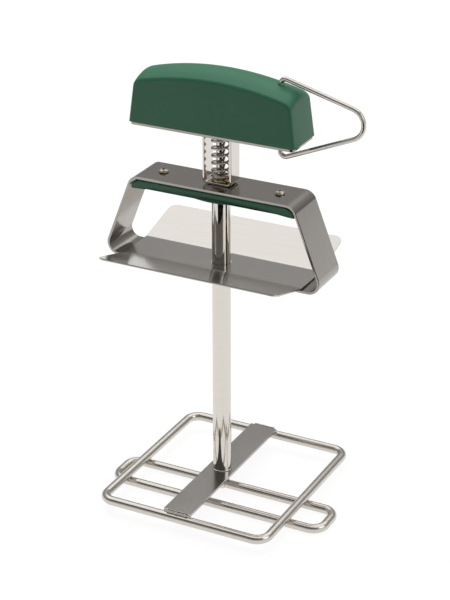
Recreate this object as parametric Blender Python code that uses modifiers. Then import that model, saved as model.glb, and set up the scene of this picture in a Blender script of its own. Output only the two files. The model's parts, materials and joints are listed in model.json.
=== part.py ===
"""Spring-loaded grid gripper: squeeze the handle and the grip bar together and the foot frame parts
from the wire hook; let go and the spring clamps the bars of a cooking grid between them.

It stands on the hook. The hook, rod and handle carry the rest: the post slides up the rod with the
frame, shield and bar, and the hanging loop swings in the handle.

Modelled in metres, +Z up. The post stands on the Z axis while the pieces are built, and the whole
assembly is then moved so that the origin is under the middle of its bounding box.
"""

import math

import bmesh
import bpy
from mathutils import Matrix, Vector

MM = 0.001
FIT = 0.3 * MM  # gap kept between pieces that touch or run in each other

# Post and rod
POST_OUTER_RADIUS = 6.35 * MM
POST_WALL = 1.2 * MM
ROD_RADIUS = 3.0 * MM
BUSH_LENGTH = 12.0 * MM

# Foot frame and hook loop, both bent from the same wire
WIRE_RADIUS = 3.175 * MM
FRAME_LENGTH = 123.4 * MM  # between wire centres, along X
FRAME_DEPTH = 133.4 * MM  # between wire centres, along Y
FRAME_SHIFT_X = 3.0 * MM
FRAME_CORNER_RADIUS = 9.0 * MM
HOOK_LENGTH = 159.0 * MM
HOOK_DEPTH = 27.4 * MM
HOOK_SHIFT_X = 8.0 * MM
HOOK_CORNER_RADIUS = 9.0 * MM
JAW_GAP = 0.8 * MM  # between the hook and the frame with the jaw closed

# Strap across the frame
STRAP_WIDTH = 20.5 * MM
STRAP_THICKNESS = 1.8 * MM
STRAP_END_INSET = 0.7 * MM  # of each end from the middle of the frame wire

# Grip bracket: a strip bent into a bar, two splayed legs and two feet
GRIP_HEIGHT = 228.8 * MM  # top of the bar
STRIP_WIDTH = 30.6 * MM
STRIP_THICKNESS = 1.8 * MM
BAR_HALF_LENGTH = 58.6 * MM  # to where the leg's middle line meets the bar's
LEG_SPLAY = math.radians(21.2)
BRACKET_BEND_RADIUS = 7.4 * MM
FOOT_OVERLAP = 13.0 * MM  # of each foot under the shield

# Heat shield
SHIELD_HEIGHT = 172.9 * MM  # top of its flat middle
SHIELD_THICKNESS = 1.2 * MM
SHIELD_HALF_LENGTH = 65.5 * MM
SHIELD_FLANGE = 38.0 * MM
SHIELD_FLANGE_SLOPE = math.radians(15.6)
SHIELD_CORNER_RADIUS = 6.0 * MM
SHIELD_FOLD_RADIUS = 1.5 * MM

# Finger pad
PAD_DEPTH = 29.8 * MM
PAD_THICKNESS = 5.9 * MM  # mean, between the waves
PAD_WAVE = 1.2 * MM
PAD_WAVE_LENGTH = 60.0 * MM
PAD_SHOULDER = 3.0 * MM  # height over which it leans in to clear the bracket's bends
PAD_BEND_CLEARANCE = 2.0 * MM
PAD_EDGE_RADIUS = 1.6 * MM

# Stirrup that holds the spring
STIRRUP_WIDTH = 21.0 * MM
STIRRUP_SIDE = 0.85 * MM  # left beside the bush hole on each side
STIRRUP_THICKNESS = 1.5 * MM
STIRRUP_BEND_RADIUS = 2.6 * MM
STIRRUP_ENTRY = 5.0 * MM  # of the walls above the base plate, jaw closed

# Handle
HANDLE_GAP = 37.9 * MM  # from the top of the bar to the bottom of the cover, jaw closed
HANDLE_LENGTH = 119.0 * MM
HANDLE_WIDTH = 31.2 * MM
HANDLE_SIDE_HEIGHT = 32.3 * MM  # crown line at the ends, before it is rounded off
HANDLE_ARCH = 8.4 * MM  # rise of the crown line in the middle
HANDLE_CROWN = 5.6 * MM  # fall from the crown line to the long edges
HANDLE_END_LEAN = 3.6 * MM
HANDLE_END_RADIUS = 7.0 * MM
HANDLE_SIDE_TAPER = 0.07
HANDLE_EDGE_RADIUS = 1.8 * MM
SHOULDER_SHARE = 0.87  # of the crown line's half angle, where the end rounding begins
CROWN_STEPS = 18
POCKET_CLEARANCE = 2.0 * MM
POCKET_HEADROOM = 6.0 * MM
PLATE_THICKNESS = 1.6 * MM
PLATE_END_INSET = 0.8 * MM
PLATE_SIDE_INSET = 0.4 * MM
PLATE_CORNER_RADIUS = 2.4 * MM
TRAVEL = 16.0 * MM

# Spring
SPRING_OUTER_RADIUS = 6.5 * MM
SPRING_WIRE_RADIUS = 0.85 * MM
SPRING_ACTIVE_TURNS = 5
SPRING_POINTS_PER_TURN = 16

# Hanging loop
LOOP_WIRE_RADIUS = 1.6 * MM
LOOP_PIVOT_X = 42.4 * MM
LOOP_NOSE_X = 99.4 * MM  # middle of the wire at the nose
LOOP_NOSE_RADIUS = 10.5 * MM
LOOP_UPPER_SLOPE = -0.273
LOOP_LOWER_SLOPE = 0.4195
LOOP_CREST = 41.0 * MM  # of the upper leg's line above the handle's bottom, at the pivot
LOOP_BEND_RADIUS = 3.6 * MM
LOOP_END_DEPTH = 10.0 * MM  # of the lower end above the handle's bottom
LOOP_TOP_END = 15.0 * MM  # of the upper end below the crest

# Fasteners
GRIP_SCREW_X = 42.5 * MM
HANDLE_SCREW_X = 28.0 * MM
SCREW_HEAD_RADIUS = 3.3 * MM
SCREW_HEAD_HEIGHT = 1.9 * MM
SCREW_SHANK_RADIUS = 1.6 * MM
RECESS_DEPTH = 1.1 * MM
RECESS_TURN = math.radians(20)
RECESS_HALF_LENGTH = 1.9 * MM
RECESS_HALF_WIDTH = 0.45 * MM
PAN_HEAD = [(0.72, 1.0), (0.93, 0.72), (1.0, 0.35), (1.0, 0.0)]  # shares of the head's radius and height
SCREW_TIP_RADIUS = 0.48 * MM
HANDLE_SCREW_BITE = 12.0 * MM  # into the cover
NUT_ACROSS_FLATS = 10.0 * MM
NUT_HEIGHT = 5.0 * MM
ROD_PAST_NUT = 3.0 * MM
WASHER_THICKNESS = 1.1 * MM
WASHER_RADIUS = 6.2 * MM
WELD_RADIUS = 1.2 * MM
WELD_END_INSET = 2.0 * MM  # of the strap's weld seams from its edges

# Heights that follow from the sizes above
HOOK_Z = WIRE_RADIUS
FRAME_Z = 3 * WIRE_RADIUS + JAW_GAP
STRAP_BOTTOM = FRAME_Z + WIRE_RADIUS + 0.75 * FIT
STRAP_TOP = STRAP_BOTTOM + STRAP_THICKNESS
POST_BOTTOM = STRAP_TOP + FIT
BAR_BOTTOM = GRIP_HEIGHT - STRIP_THICKNESS
POST_TOP = BAR_BOTTOM - FIT
POST_BORE_RADIUS = POST_OUTER_RADIUS - POST_WALL
BUSH_RADIUS = POST_BORE_RADIUS - FIT
ROD_HOLE_RADIUS = ROD_RADIUS + FIT
POST_HOLE_RADIUS = POST_OUTER_RADIUS + FIT
STIRRUP_DEPTH = 2 * (POST_BORE_RADIUS + STIRRUP_SIDE)
HANDLE_BOTTOM = GRIP_HEIGHT + HANDLE_GAP
FOOT_TOP = SHIELD_HEIGHT - SHIELD_THICKNESS - FIT
STIRRUP_FLOOR_TOP = GRIP_HEIGHT + FIT + STIRRUP_THICKNESS
BUSH_FLANGE_BOTTOM = STIRRUP_FLOOR_TOP + FIT
BUSH_FLANGE_TOP = BUSH_FLANGE_BOTTOM + WASHER_THICKNESS
PLATE_TOP = HANDLE_BOTTOM - FIT
PLATE_BOTTOM = PLATE_TOP - PLATE_THICKNESS
STIRRUP_TOP = PLATE_TOP + STIRRUP_ENTRY
SPRING_BOTTOM = BUSH_FLANGE_TOP + FIT
SPRING_WASHER_TOP = PLATE_BOTTOM - FIT
SPRING_TOP = SPRING_WASHER_TOP - WASHER_THICKNESS - FIT
ROD_WASHER_BOTTOM = PLATE_TOP + FIT
NUT_BOTTOM = ROD_WASHER_BOTTOM + WASHER_THICKNESS + FIT
ROD_TOP = NUT_BOTTOM + NUT_HEIGHT + ROD_PAST_NUT

WIRE_RESOLUTION = 4
ROUND_SEGMENTS = 40


def collection(name):
    """Return a new collection linked to the scene."""
    made = bpy.data.collections.new(name)
    bpy.context.scene.collection.children.link(made)
    return made


def material(name, colour, roughness, metallic):
    """Return a plain Principled material."""
    made = bpy.data.materials.new(name)
    made.use_nodes = True
    shader = made.node_tree.nodes["Principled BSDF"]
    shader.inputs["Base Color"].default_value = (*colour, 1.0)
    shader.inputs["Roughness"].default_value = roughness
    shader.inputs["Metallic"].default_value = metallic
    made.diffuse_color = (*colour, 1.0)
    return made


def empty(name, location, parent=None):
    """Return an empty that carries a moving group, at a point on its joint's axis."""
    made = bpy.data.objects.new(name, None)
    PARTS.objects.link(made)
    made.parent = parent
    made.location = Vector(location) - (parent.location if parent else Vector())
    return made


def piece(name, mesh, finish, carrier):
    """Link a mesh, modelled in assembly coordinates, as a sub-part carried by an empty."""
    made = bpy.data.objects.new(name, mesh)
    mesh.materials.clear()
    mesh.materials.append(finish)
    PARTS.objects.link(made)
    mesh.transform(Matrix.Translation(-carrier_position(carrier)))
    made.parent = carrier
    mesh.shade_smooth()
    mesh.set_sharp_from_angle(angle=math.radians(35))
    return made


def carrier_position(carrier):
    """Return where an empty stands in the assembly, through its parents."""
    position = Vector()
    while carrier is not None:
        position += carrier.location
        carrier = carrier.parent
    return position


def mesh_from_bmesh(name, shape):
    """Turn a bmesh into mesh data with its faces pointing out."""
    bmesh.ops.recalc_face_normals(shape, faces=shape.faces)
    mesh = bpy.data.meshes.new(name)
    shape.to_mesh(mesh)
    shape.free()
    return mesh


def baked(name, thing):
    """Evaluate a curve or modified object, weld it, and return the mesh without the object."""
    bpy.context.scene.collection.objects.link(thing)
    graph = bpy.context.evaluated_depsgraph_get()
    evaluated = thing.evaluated_get(graph)
    mesh = bpy.data.meshes.new_from_object(evaluated)
    mesh.transform(thing.matrix_world)
    bpy.data.objects.remove(thing)
    mesh.name = name
    shape = bmesh.new()
    shape.from_mesh(mesh)
    bmesh.ops.remove_doubles(shape, verts=shape.verts, dist=0.001 * MM)
    bmesh.ops.recalc_face_normals(shape, faces=shape.faces)
    shape.to_mesh(mesh)
    shape.free()
    return mesh


def wire(name, points, radius, cyclic=False, resolution=WIRE_RESOLUTION):
    """Return the mesh of a round wire along 3-D points."""
    curve = bpy.data.curves.new(name, "CURVE")
    curve.dimensions = "3D"
    curve.bevel_depth = radius
    curve.bevel_resolution = resolution
    curve.use_fill_caps = not cyclic
    spline = curve.splines.new("POLY")
    spline.points.add(len(points) - 1)
    for point, place in zip(spline.points, points):
        point.co = (*place, 1.0)
    spline.use_cyclic_u = cyclic
    return baked(name, bpy.data.objects.new(name, curve))


def outline_xy(name, outline, bottom, top):
    """Return the mesh of a flat outline in X and Y, between two heights."""
    curve = flat_curve(name, outline, (top - bottom) / 2)
    thing = bpy.data.objects.new(name, curve)
    thing.matrix_world = Matrix.Translation((0, 0, (top + bottom) / 2))
    return baked(name, thing)


def outline_xz(name, outline, depth):
    """Return the mesh of an outline in X and Z, of the given depth centred on Y = 0."""
    curve = flat_curve(name, outline, depth / 2)
    thing = bpy.data.objects.new(name, curve)
    thing.matrix_world = Matrix.Rotation(math.radians(90), 4, "X")
    return baked(name, thing)


def flat_curve(name, outline, half_thickness):
    """Return a filled 2-D curve, extruded both ways."""
    curve = bpy.data.curves.new(name, "CURVE")
    curve.dimensions = "2D"
    curve.fill_mode = "BOTH"
    curve.extrude = half_thickness
    spline = curve.splines.new("POLY")
    spline.points.add(len(outline) - 1)
    for point, (across, up) in zip(spline.points, outline):
        point.co = (across, up, 0, 1)
    spline.use_cyclic_u = True
    return curve


def turned(name, profile, closed=True, steps=ROUND_SEGMENTS, middle_x=0.0):
    """Return the mesh of a profile of (radius, height) points, turned about a vertical axis.

    The profile runs down its outer side. A closed one makes a ring, and an open one that starts and
    ends on the axis makes a solid.
    """
    mesh = bpy.data.meshes.new(name)
    count = len(profile)
    edges = [(index, (index + 1) % count) for index in range(count if closed else count - 1)]
    mesh.from_pydata([(radius, 0, height) for radius, height in profile], edges, [])
    thing = bpy.data.objects.new(name, mesh)
    screw = thing.modifiers.new("Turn", "SCREW")
    screw.steps = steps
    screw.render_steps = steps
    screw.use_merge_vertices = True
    screw.merge_threshold = 0.001 * MM
    thing.matrix_world = Matrix.Translation((middle_x, 0, 0))
    return baked(name, thing)


def sleeve(name, inner, outer, bottom, top):
    """Return the mesh of a plain tube about the post's axis."""
    return turned(name, [(outer, top), (outer, bottom), (inner, bottom), (inner, top)])


def rod(name, radius, bottom, top, at=(0, 0), segments=ROUND_SEGMENTS):
    """Return the mesh of an upright cylinder."""
    shape = bmesh.new()
    middle = Matrix.Translation((at[0], at[1], (bottom + top) / 2))
    bmesh.ops.create_cone(
        shape, cap_ends=True, segments=segments, radius1=radius, radius2=radius,
        depth=top - bottom, matrix=middle,
    )
    return mesh_from_bmesh(name, shape)


def box(name, low, high):
    """Return the mesh of a box between two corners."""
    shape = bmesh.new()
    size = Vector(high) - Vector(low)
    middle = (Vector(high) + Vector(low)) / 2
    placed = Matrix.Translation(middle) @ Matrix.Diagonal((*size, 1))
    bmesh.ops.create_cube(shape, size=1, matrix=placed)
    return mesh_from_bmesh(name, shape)


def cut(target, mesh):
    """Cut a mesh, in assembly coordinates, out of a sub-part, and keep the cutter as a guide."""
    cutter = bpy.data.objects.new(mesh.name, mesh)
    CUTTERS.objects.link(cutter)
    mesh.transform(Matrix.Translation(-carrier_position(target.parent)))
    cutter.parent = target.parent
    cutter.hide_render = True
    cutter.display_type = "WIRE"
    modifier = target.modifiers.new("Cut " + mesh.name, "BOOLEAN")
    modifier.operation = "DIFFERENCE"
    modifier.object = cutter


def bent(corners, radius, closed=False, steps=6):
    """Return 2-D points along straight runs with each corner rounded to a bend radius."""
    count = len(corners)
    points = []
    for index, corner in enumerate(corners):
        if not closed and index in (0, count - 1):
            points.append(tuple(corner))
            continue
        here = Vector(corner)
        back = (Vector(corners[index - 1]) - here).normalized()
        ahead = (Vector(corners[(index + 1) % count]) - here).normalized()
        half = back.angle(ahead) / 2
        middle = here + (back + ahead).normalized() * radius / math.sin(half)
        first = here + back * radius / math.tan(half) - middle
        turn = first.angle_signed(here + ahead * radius / math.tan(half) - middle)
        for step in range(steps + 1):
            angle = -turn * step / steps
            arm = Matrix.Rotation(angle, 2) @ first
            points.append(tuple(middle + arm))
    return points


def strip_outline(path, thickness):
    """Return the closed outline of a strip of even thickness along an open 2-D path."""
    left = []
    right = []
    for index, point in enumerate(path):
        here = Vector(point)
        runs = []
        if index > 0:
            runs.append((here - Vector(path[index - 1])).normalized())
        if index < len(path) - 1:
            runs.append((Vector(path[index + 1]) - here).normalized())
        along = sum(runs, Vector((0, 0))).normalized()
        reach = thickness / 2 / along.dot(runs[0])
        side = Vector((-along.y, along.x)) * reach
        left.append(tuple(here + side))
        right.append(tuple(here - side))
    return left + right[::-1]


def rounded_rectangle(length, depth, radius, middle_x=0.0):
    """Return a closed outline with round corners, centred on Y = 0."""
    half_x = length / 2
    half_y = depth / 2
    corners = [(middle_x - half_x, -half_y), (middle_x + half_x, -half_y),
               (middle_x + half_x, half_y), (middle_x - half_x, half_y)]
    return bent(corners, radius, closed=True)


def mirrored(path):
    """Return a path from its right half: the mirror image first, then the half itself."""
    return [(-across, up) for across, up in reversed(path)] + list(path)


def leg_line(height):
    """Return X of the right leg's middle line at a height."""
    return BAR_HALF_LENGTH + (GRIP_HEIGHT - STRIP_THICKNESS / 2 - height) * math.tan(LEG_SPLAY)


def crossed_recess(name, x, bottom, top):
    """Return the mesh of a cross recess in a screw head, between two heights."""
    long_half = RECESS_HALF_LENGTH
    short_half = RECESS_HALF_WIDTH
    cross = [(short_half, short_half), (short_half, long_half), (-short_half, long_half),
             (-short_half, short_half), (-long_half, short_half), (-long_half, -short_half),
             (-short_half, -short_half), (-short_half, -long_half), (short_half, -long_half),
             (short_half, -short_half), (long_half, -short_half), (long_half, short_half)]
    turn = Matrix.Rotation(RECESS_TURN, 2)
    outline = [tuple(Vector((x, 0)) + turn @ Vector(corner)) for corner in cross]
    return outline_xy(name, outline, bottom, top)


def screw_profile(seat, length, direction):
    """Return a pan-head screw's profile from its head's seat; direction is +1 for a head upwards."""
    head = [(SCREW_HEAD_RADIUS * across, SCREW_HEAD_HEIGHT * up) for across, up in PAN_HEAD]
    shank = [(SCREW_SHANK_RADIUS, 0), (SCREW_SHANK_RADIUS, -length + SCREW_SHANK_RADIUS),
             (SCREW_TIP_RADIUS, -length)]
    profile = [(0, SCREW_HEAD_HEIGHT)] + head + shank + [(0, -length)]
    if direction > 0:
        return [(radius, seat + height) for radius, height in profile]
    return [(radius, seat - height) for radius, height in reversed(profile)]


def make_screw(name, x, seat, length, head_up, carrier):
    """Add a pan-head screw whose head sits on a seat, with its cross recess."""
    profile = screw_profile(seat, length, 1 if head_up else -1)
    solid = turned(name, profile, closed=False, steps=ROUND_SEGMENTS // 2, middle_x=x)
    made = piece(name, solid, STEEL, carrier)
    crown = seat + (SCREW_HEAD_HEIGHT if head_up else -SCREW_HEAD_HEIGHT)
    cut(made, crossed_recess(name + "_recess", x, crown - RECESS_DEPTH, crown + RECESS_DEPTH))


def build_foot():
    """Frame, strap, post and their welds."""
    frame = rounded_rectangle(FRAME_LENGTH, FRAME_DEPTH, FRAME_CORNER_RADIUS, FRAME_SHIFT_X)
    points = [(across, along, FRAME_Z) for across, along in frame]
    piece("foot_frame", wire("foot_frame", points, WIRE_RADIUS, cyclic=True), STEEL, BODY)

    strap_half = FRAME_DEPTH / 2 - STRAP_END_INSET
    low = (-STRAP_WIDTH / 2, -strap_half, STRAP_BOTTOM)
    high = (STRAP_WIDTH / 2, strap_half, STRAP_TOP)
    strap = piece("strap", box("strap", low, high), BRUSHED, BODY)
    cut(strap, rod("strap_hole", ROD_HOLE_RADIUS + FIT, STRAP_BOTTOM - MM, STRAP_TOP + MM))

    for name, side in (("strap_weld_near", -1), ("strap_weld_far", 1)):
        place_y = side * (strap_half + WELD_RADIUS + 0.5 * FIT)
        reach = WIRE_RADIUS + WELD_RADIUS + 0.5 * FIT
        height = FRAME_Z + math.sqrt(reach ** 2 - (place_y - side * FRAME_DEPTH / 2) ** 2)
        bead_half = STRAP_WIDTH / 2 - WELD_END_INSET
        bead = [(-bead_half, place_y, height), (0, place_y, height), (bead_half, place_y, height)]
        piece(name, wire(name, bead, WELD_RADIUS, resolution=2), STEEL, BODY)

    post = sleeve("post_tube", POST_BORE_RADIUS, POST_OUTER_RADIUS, POST_BOTTOM, POST_TOP)
    piece("post_tube", post, STEEL, BODY)
    ring_radius = POST_OUTER_RADIUS + WELD_RADIUS + 0.5 * FIT
    ring_height = STRAP_TOP + WELD_RADIUS + 0.5 * FIT
    ring = []
    for step in range(24):
        angle = math.tau * step / 24
        ring.append((ring_radius * math.cos(angle), ring_radius * math.sin(angle), ring_height))
    piece("post_weld", wire("post_weld", ring, WELD_RADIUS, cyclic=True, resolution=1), STEEL, BODY)

    lower = sleeve("lower_bush", ROD_HOLE_RADIUS, BUSH_RADIUS, POST_BOTTOM + FIT, POST_BOTTOM + BUSH_LENGTH)
    piece("lower_bush", lower, BRASS, BODY)


def build_grip():
    """Bracket, finger pad, its screws and the heat shield."""
    foot_middle = FOOT_TOP - STRIP_THICKNESS / 2
    bar_middle = GRIP_HEIGHT - STRIP_THICKNESS / 2
    corners = mirrored([(leg_line(bar_middle), bar_middle), (leg_line(foot_middle), foot_middle),
                        (SHIELD_HALF_LENGTH - FOOT_OVERLAP, foot_middle)])
    path = bent(corners, BRACKET_BEND_RADIUS)
    strip = outline_xz("grip_bracket", strip_outline(path, STRIP_THICKNESS), STRIP_WIDTH)
    bracket = piece("grip_bracket", strip, BRUSHED, BODY)
    cut(bracket, rod("bush_hole_in_bar", BUSH_RADIUS + FIT, BAR_BOTTOM - MM, GRIP_HEIGHT + MM))

    pad_top = BAR_BOTTOM - FIT
    end_gap = STRIP_THICKNESS / 2 / math.cos(LEG_SPLAY) + 1.5 * FIT
    wave_steps = 24
    bend_clear = BRACKET_BEND_RADIUS * math.tan(LEG_SPLAY) + PAD_BEND_CLEARANCE
    top_half = BAR_HALF_LENGTH - bend_clear
    shoulder = pad_top - PAD_SHOULDER
    bottom_half = leg_line(pad_top - PAD_THICKNESS) - end_gap
    underside = []
    for step in range(wave_steps + 1):
        across = bottom_half * (1 - 2 * step / wave_steps)
        wave = PAD_WAVE * math.cos(math.tau * across / PAD_WAVE_LENGTH)
        underside.append((across, pad_top - PAD_THICKNESS - wave))
    outline = [(-leg_line(shoulder) + end_gap, shoulder), (-top_half, pad_top), (top_half, pad_top),
               (leg_line(shoulder) - end_gap, shoulder)]
    pad = piece("finger_pad", outline_xz("finger_pad", outline + underside, PAD_DEPTH), RUBBER, BODY)
    rounding = pad.modifiers.new("Soft edges", "BEVEL")
    rounding.width = PAD_EDGE_RADIUS
    rounding.segments = 2
    rounding.limit_method = "ANGLE"
    rounding.angle_limit = math.radians(60)
    cut(pad, rod("post_hole_in_pad", POST_HOLE_RADIUS, pad_top - 4 * PAD_THICKNESS, pad_top + MM))

    screw_length = STRIP_THICKNESS + PAD_THICKNESS - MM
    for name, side in (("grip_screw_left", -1), ("grip_screw_right", 1)):
        place_x = side * GRIP_SCREW_X
        hole_radius = SCREW_SHANK_RADIUS + FIT
        cut(bracket, rod(name + "_hole", hole_radius, BAR_BOTTOM - MM, GRIP_HEIGHT + MM, (place_x, 0), 24))
        bottom = GRIP_HEIGHT + FIT - screw_length - FIT
        cut(pad, rod(name + "_socket", hole_radius, bottom, pad_top + MM, (place_x, 0), 24))
        make_screw(name, place_x, GRIP_HEIGHT + FIT, screw_length, True, BODY)

    half_flat = STRIP_WIDTH / 2
    rise = SHIELD_FLANGE * math.sin(SHIELD_FLANGE_SLOPE)
    reach = half_flat + SHIELD_FLANGE * math.cos(SHIELD_FLANGE_SLOPE)
    shape = bmesh.new()
    section = [(-reach, rise), (-half_flat, 0), (half_flat, 0), (reach, rise)]
    rows = []
    for across in (-SHIELD_HALF_LENGTH, SHIELD_HALF_LENGTH):
        rows.append([shape.verts.new((across, along, SHIELD_HEIGHT + up)) for along, up in section])
    for index in range(len(section) - 1):
        shape.faces.new((rows[0][index], rows[1][index], rows[1][index + 1], rows[0][index + 1]))
    corners = [rows[0][0], rows[0][-1], rows[1][0], rows[1][-1]]
    bmesh.ops.bevel(shape, geom=corners, offset=SHIELD_CORNER_RADIUS, offset_type="OFFSET", segments=5,
                    profile=0.5, affect="VERTICES")
    folds = [edge for edge in shape.edges if len(edge.link_faces) == 2]
    bmesh.ops.bevel(shape, geom=folds, offset=SHIELD_FOLD_RADIUS, offset_type="OFFSET", segments=3,
                    profile=0.5, affect="EDGES")
    shield = piece("heat_shield", mesh_facing_up("heat_shield", shape), SHEET, BODY)
    thicken = shield.modifiers.new("Sheet", "SOLIDIFY")
    thicken.thickness = SHIELD_THICKNESS
    thicken.offset = -1
    cut(shield, rod("post_hole_in_shield", POST_HOLE_RADIUS, SHIELD_HEIGHT - 5 * MM, SHIELD_HEIGHT + 5 * MM))


def mesh_facing_up(name, shape):
    """Turn an open sheet into mesh data with its faces pointing up."""
    shape.normal_update()
    downward = [face for face in shape.faces if face.normal.z < 0]
    bmesh.ops.reverse_faces(shape, faces=downward)
    mesh = bpy.data.meshes.new(name)
    shape.to_mesh(mesh)
    shape.free()
    return mesh


def build_stirrup():
    """U-shaped stirrup on the bar, the flanged bush through its floor, and the spring inside it."""
    half = (STIRRUP_WIDTH - STIRRUP_THICKNESS) / 2
    floor_middle = STIRRUP_FLOOR_TOP - STIRRUP_THICKNESS / 2
    path = bent(mirrored([(half, floor_middle), (half, STIRRUP_TOP)]), STIRRUP_BEND_RADIUS)
    mesh = outline_xz("spring_stirrup", strip_outline(path, STIRRUP_THICKNESS), STIRRUP_DEPTH)
    stirrup = piece("spring_stirrup", mesh, STEEL, BODY)
    cut(stirrup, rod("bush_hole_in_stirrup", BUSH_RADIUS + FIT, GRIP_HEIGHT - MM, STIRRUP_FLOOR_TOP + MM))

    flange_radius = SPRING_OUTER_RADIUS - 0.3 * MM
    bush_bottom = POST_TOP - BUSH_LENGTH
    profile = [(flange_radius, BUSH_FLANGE_TOP), (flange_radius, BUSH_FLANGE_BOTTOM),
               (BUSH_RADIUS, BUSH_FLANGE_BOTTOM), (BUSH_RADIUS, bush_bottom),
               (ROD_HOLE_RADIUS, bush_bottom), (ROD_HOLE_RADIUS, BUSH_FLANGE_TOP)]
    piece("upper_bush", turned("upper_bush", profile), BRASS, BODY)

    coil_radius = SPRING_OUTER_RADIUS - SPRING_WIRE_RADIUS
    closed_pitch = 2 * SPRING_WIRE_RADIUS * 1.08
    length = SPRING_TOP - SPRING_BOTTOM - 2 * SPRING_WIRE_RADIUS
    open_pitch = (length - 2 * closed_pitch) / SPRING_ACTIVE_TURNS
    turns = SPRING_ACTIVE_TURNS + 2
    points = []
    height = SPRING_BOTTOM + SPRING_WIRE_RADIUS
    for step in range(turns * SPRING_POINTS_PER_TURN + 1):
        angle = math.tau * step / SPRING_POINTS_PER_TURN
        points.append((coil_radius * math.cos(angle), coil_radius * math.sin(angle), height))
        at_end = step < SPRING_POINTS_PER_TURN or step >= (turns - 1) * SPRING_POINTS_PER_TURN
        height += (closed_pitch if at_end else open_pitch) / SPRING_POINTS_PER_TURN
    piece("spring", wire("spring", points, SPRING_WIRE_RADIUS, resolution=2), STEEL, PLUNGER)


def handle_outline():
    """Return the handle's front outline: leaning ends, rounded shoulders and an arched crown line."""
    half = HANDLE_LENGTH / 2
    top_half = half - HANDLE_END_LEAN
    side_top = HANDLE_BOTTOM + HANDLE_SIDE_HEIGHT
    arch_radius = (top_half ** 2 + HANDLE_ARCH ** 2) / (2 * HANDLE_ARCH)
    arch_middle = side_top + HANDLE_ARCH - arch_radius
    shoulder_slope = math.asin(top_half / arch_radius)
    shoulder_x = (arch_radius - HANDLE_END_RADIUS) * math.sin(shoulder_slope * SHOULDER_SHARE)
    crown = []
    for step in range(CROWN_STEPS + 1):
        angle = math.asin(shoulder_x / arch_radius) * (1 - 2 * step / CROWN_STEPS)
        crown.append((arch_radius * math.sin(angle), arch_middle + arch_radius * math.cos(angle)))
    end_corners = [(half, HANDLE_BOTTOM), (top_half, side_top), crown[0]]
    right_shoulder = bent(end_corners, HANDLE_END_RADIUS)[1:-1]
    left_shoulder = [(-across, up) for across, up in reversed(right_shoulder)]
    return [(-half, HANDLE_BOTTOM), (half, HANDLE_BOTTOM)] + right_shoulder + crown + left_shoulder


def handle_block():
    """Return the handle's mesh: the outline made solid, tapered towards the top and crowned across."""
    mesh = outline_xz("handle_cover", handle_outline(), HANDLE_WIDTH)
    shape = bmesh.new()
    shape.from_mesh(mesh)
    half_width = HANDLE_WIDTH / 2
    across_edges = [edge for edge in shape.edges
                    if abs(edge.verts[0].co.y - edge.verts[1].co.y) > half_width]
    bmesh.ops.subdivide_edges(shape, edges=across_edges, cuts=7)
    full_height = HANDLE_SIDE_HEIGHT + HANDLE_ARCH
    for vertex in shape.verts:
        share = (vertex.co.z - HANDLE_BOTTOM) / full_height
        vertex.co.z -= HANDLE_CROWN * share * (vertex.co.y / half_width) ** 2
        vertex.co.y *= 1 - HANDLE_SIDE_TAPER * share
    shape.normal_update()
    rim = []
    for edge in shape.edges:
        on_floor = max(vertex.co.z for vertex in edge.verts) < HANDLE_BOTTOM + 0.1 * MM
        if not on_floor and edge.calc_face_angle(0) > math.radians(45):
            rim.append(edge)
    bmesh.ops.bevel(shape, geom=rim, offset=HANDLE_EDGE_RADIUS, offset_type="OFFSET", segments=2,
                    profile=0.5, affect="EDGES", clamp_overlap=True)
    bpy.data.meshes.remove(mesh)
    return mesh_from_bmesh("handle_cover", shape)


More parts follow.
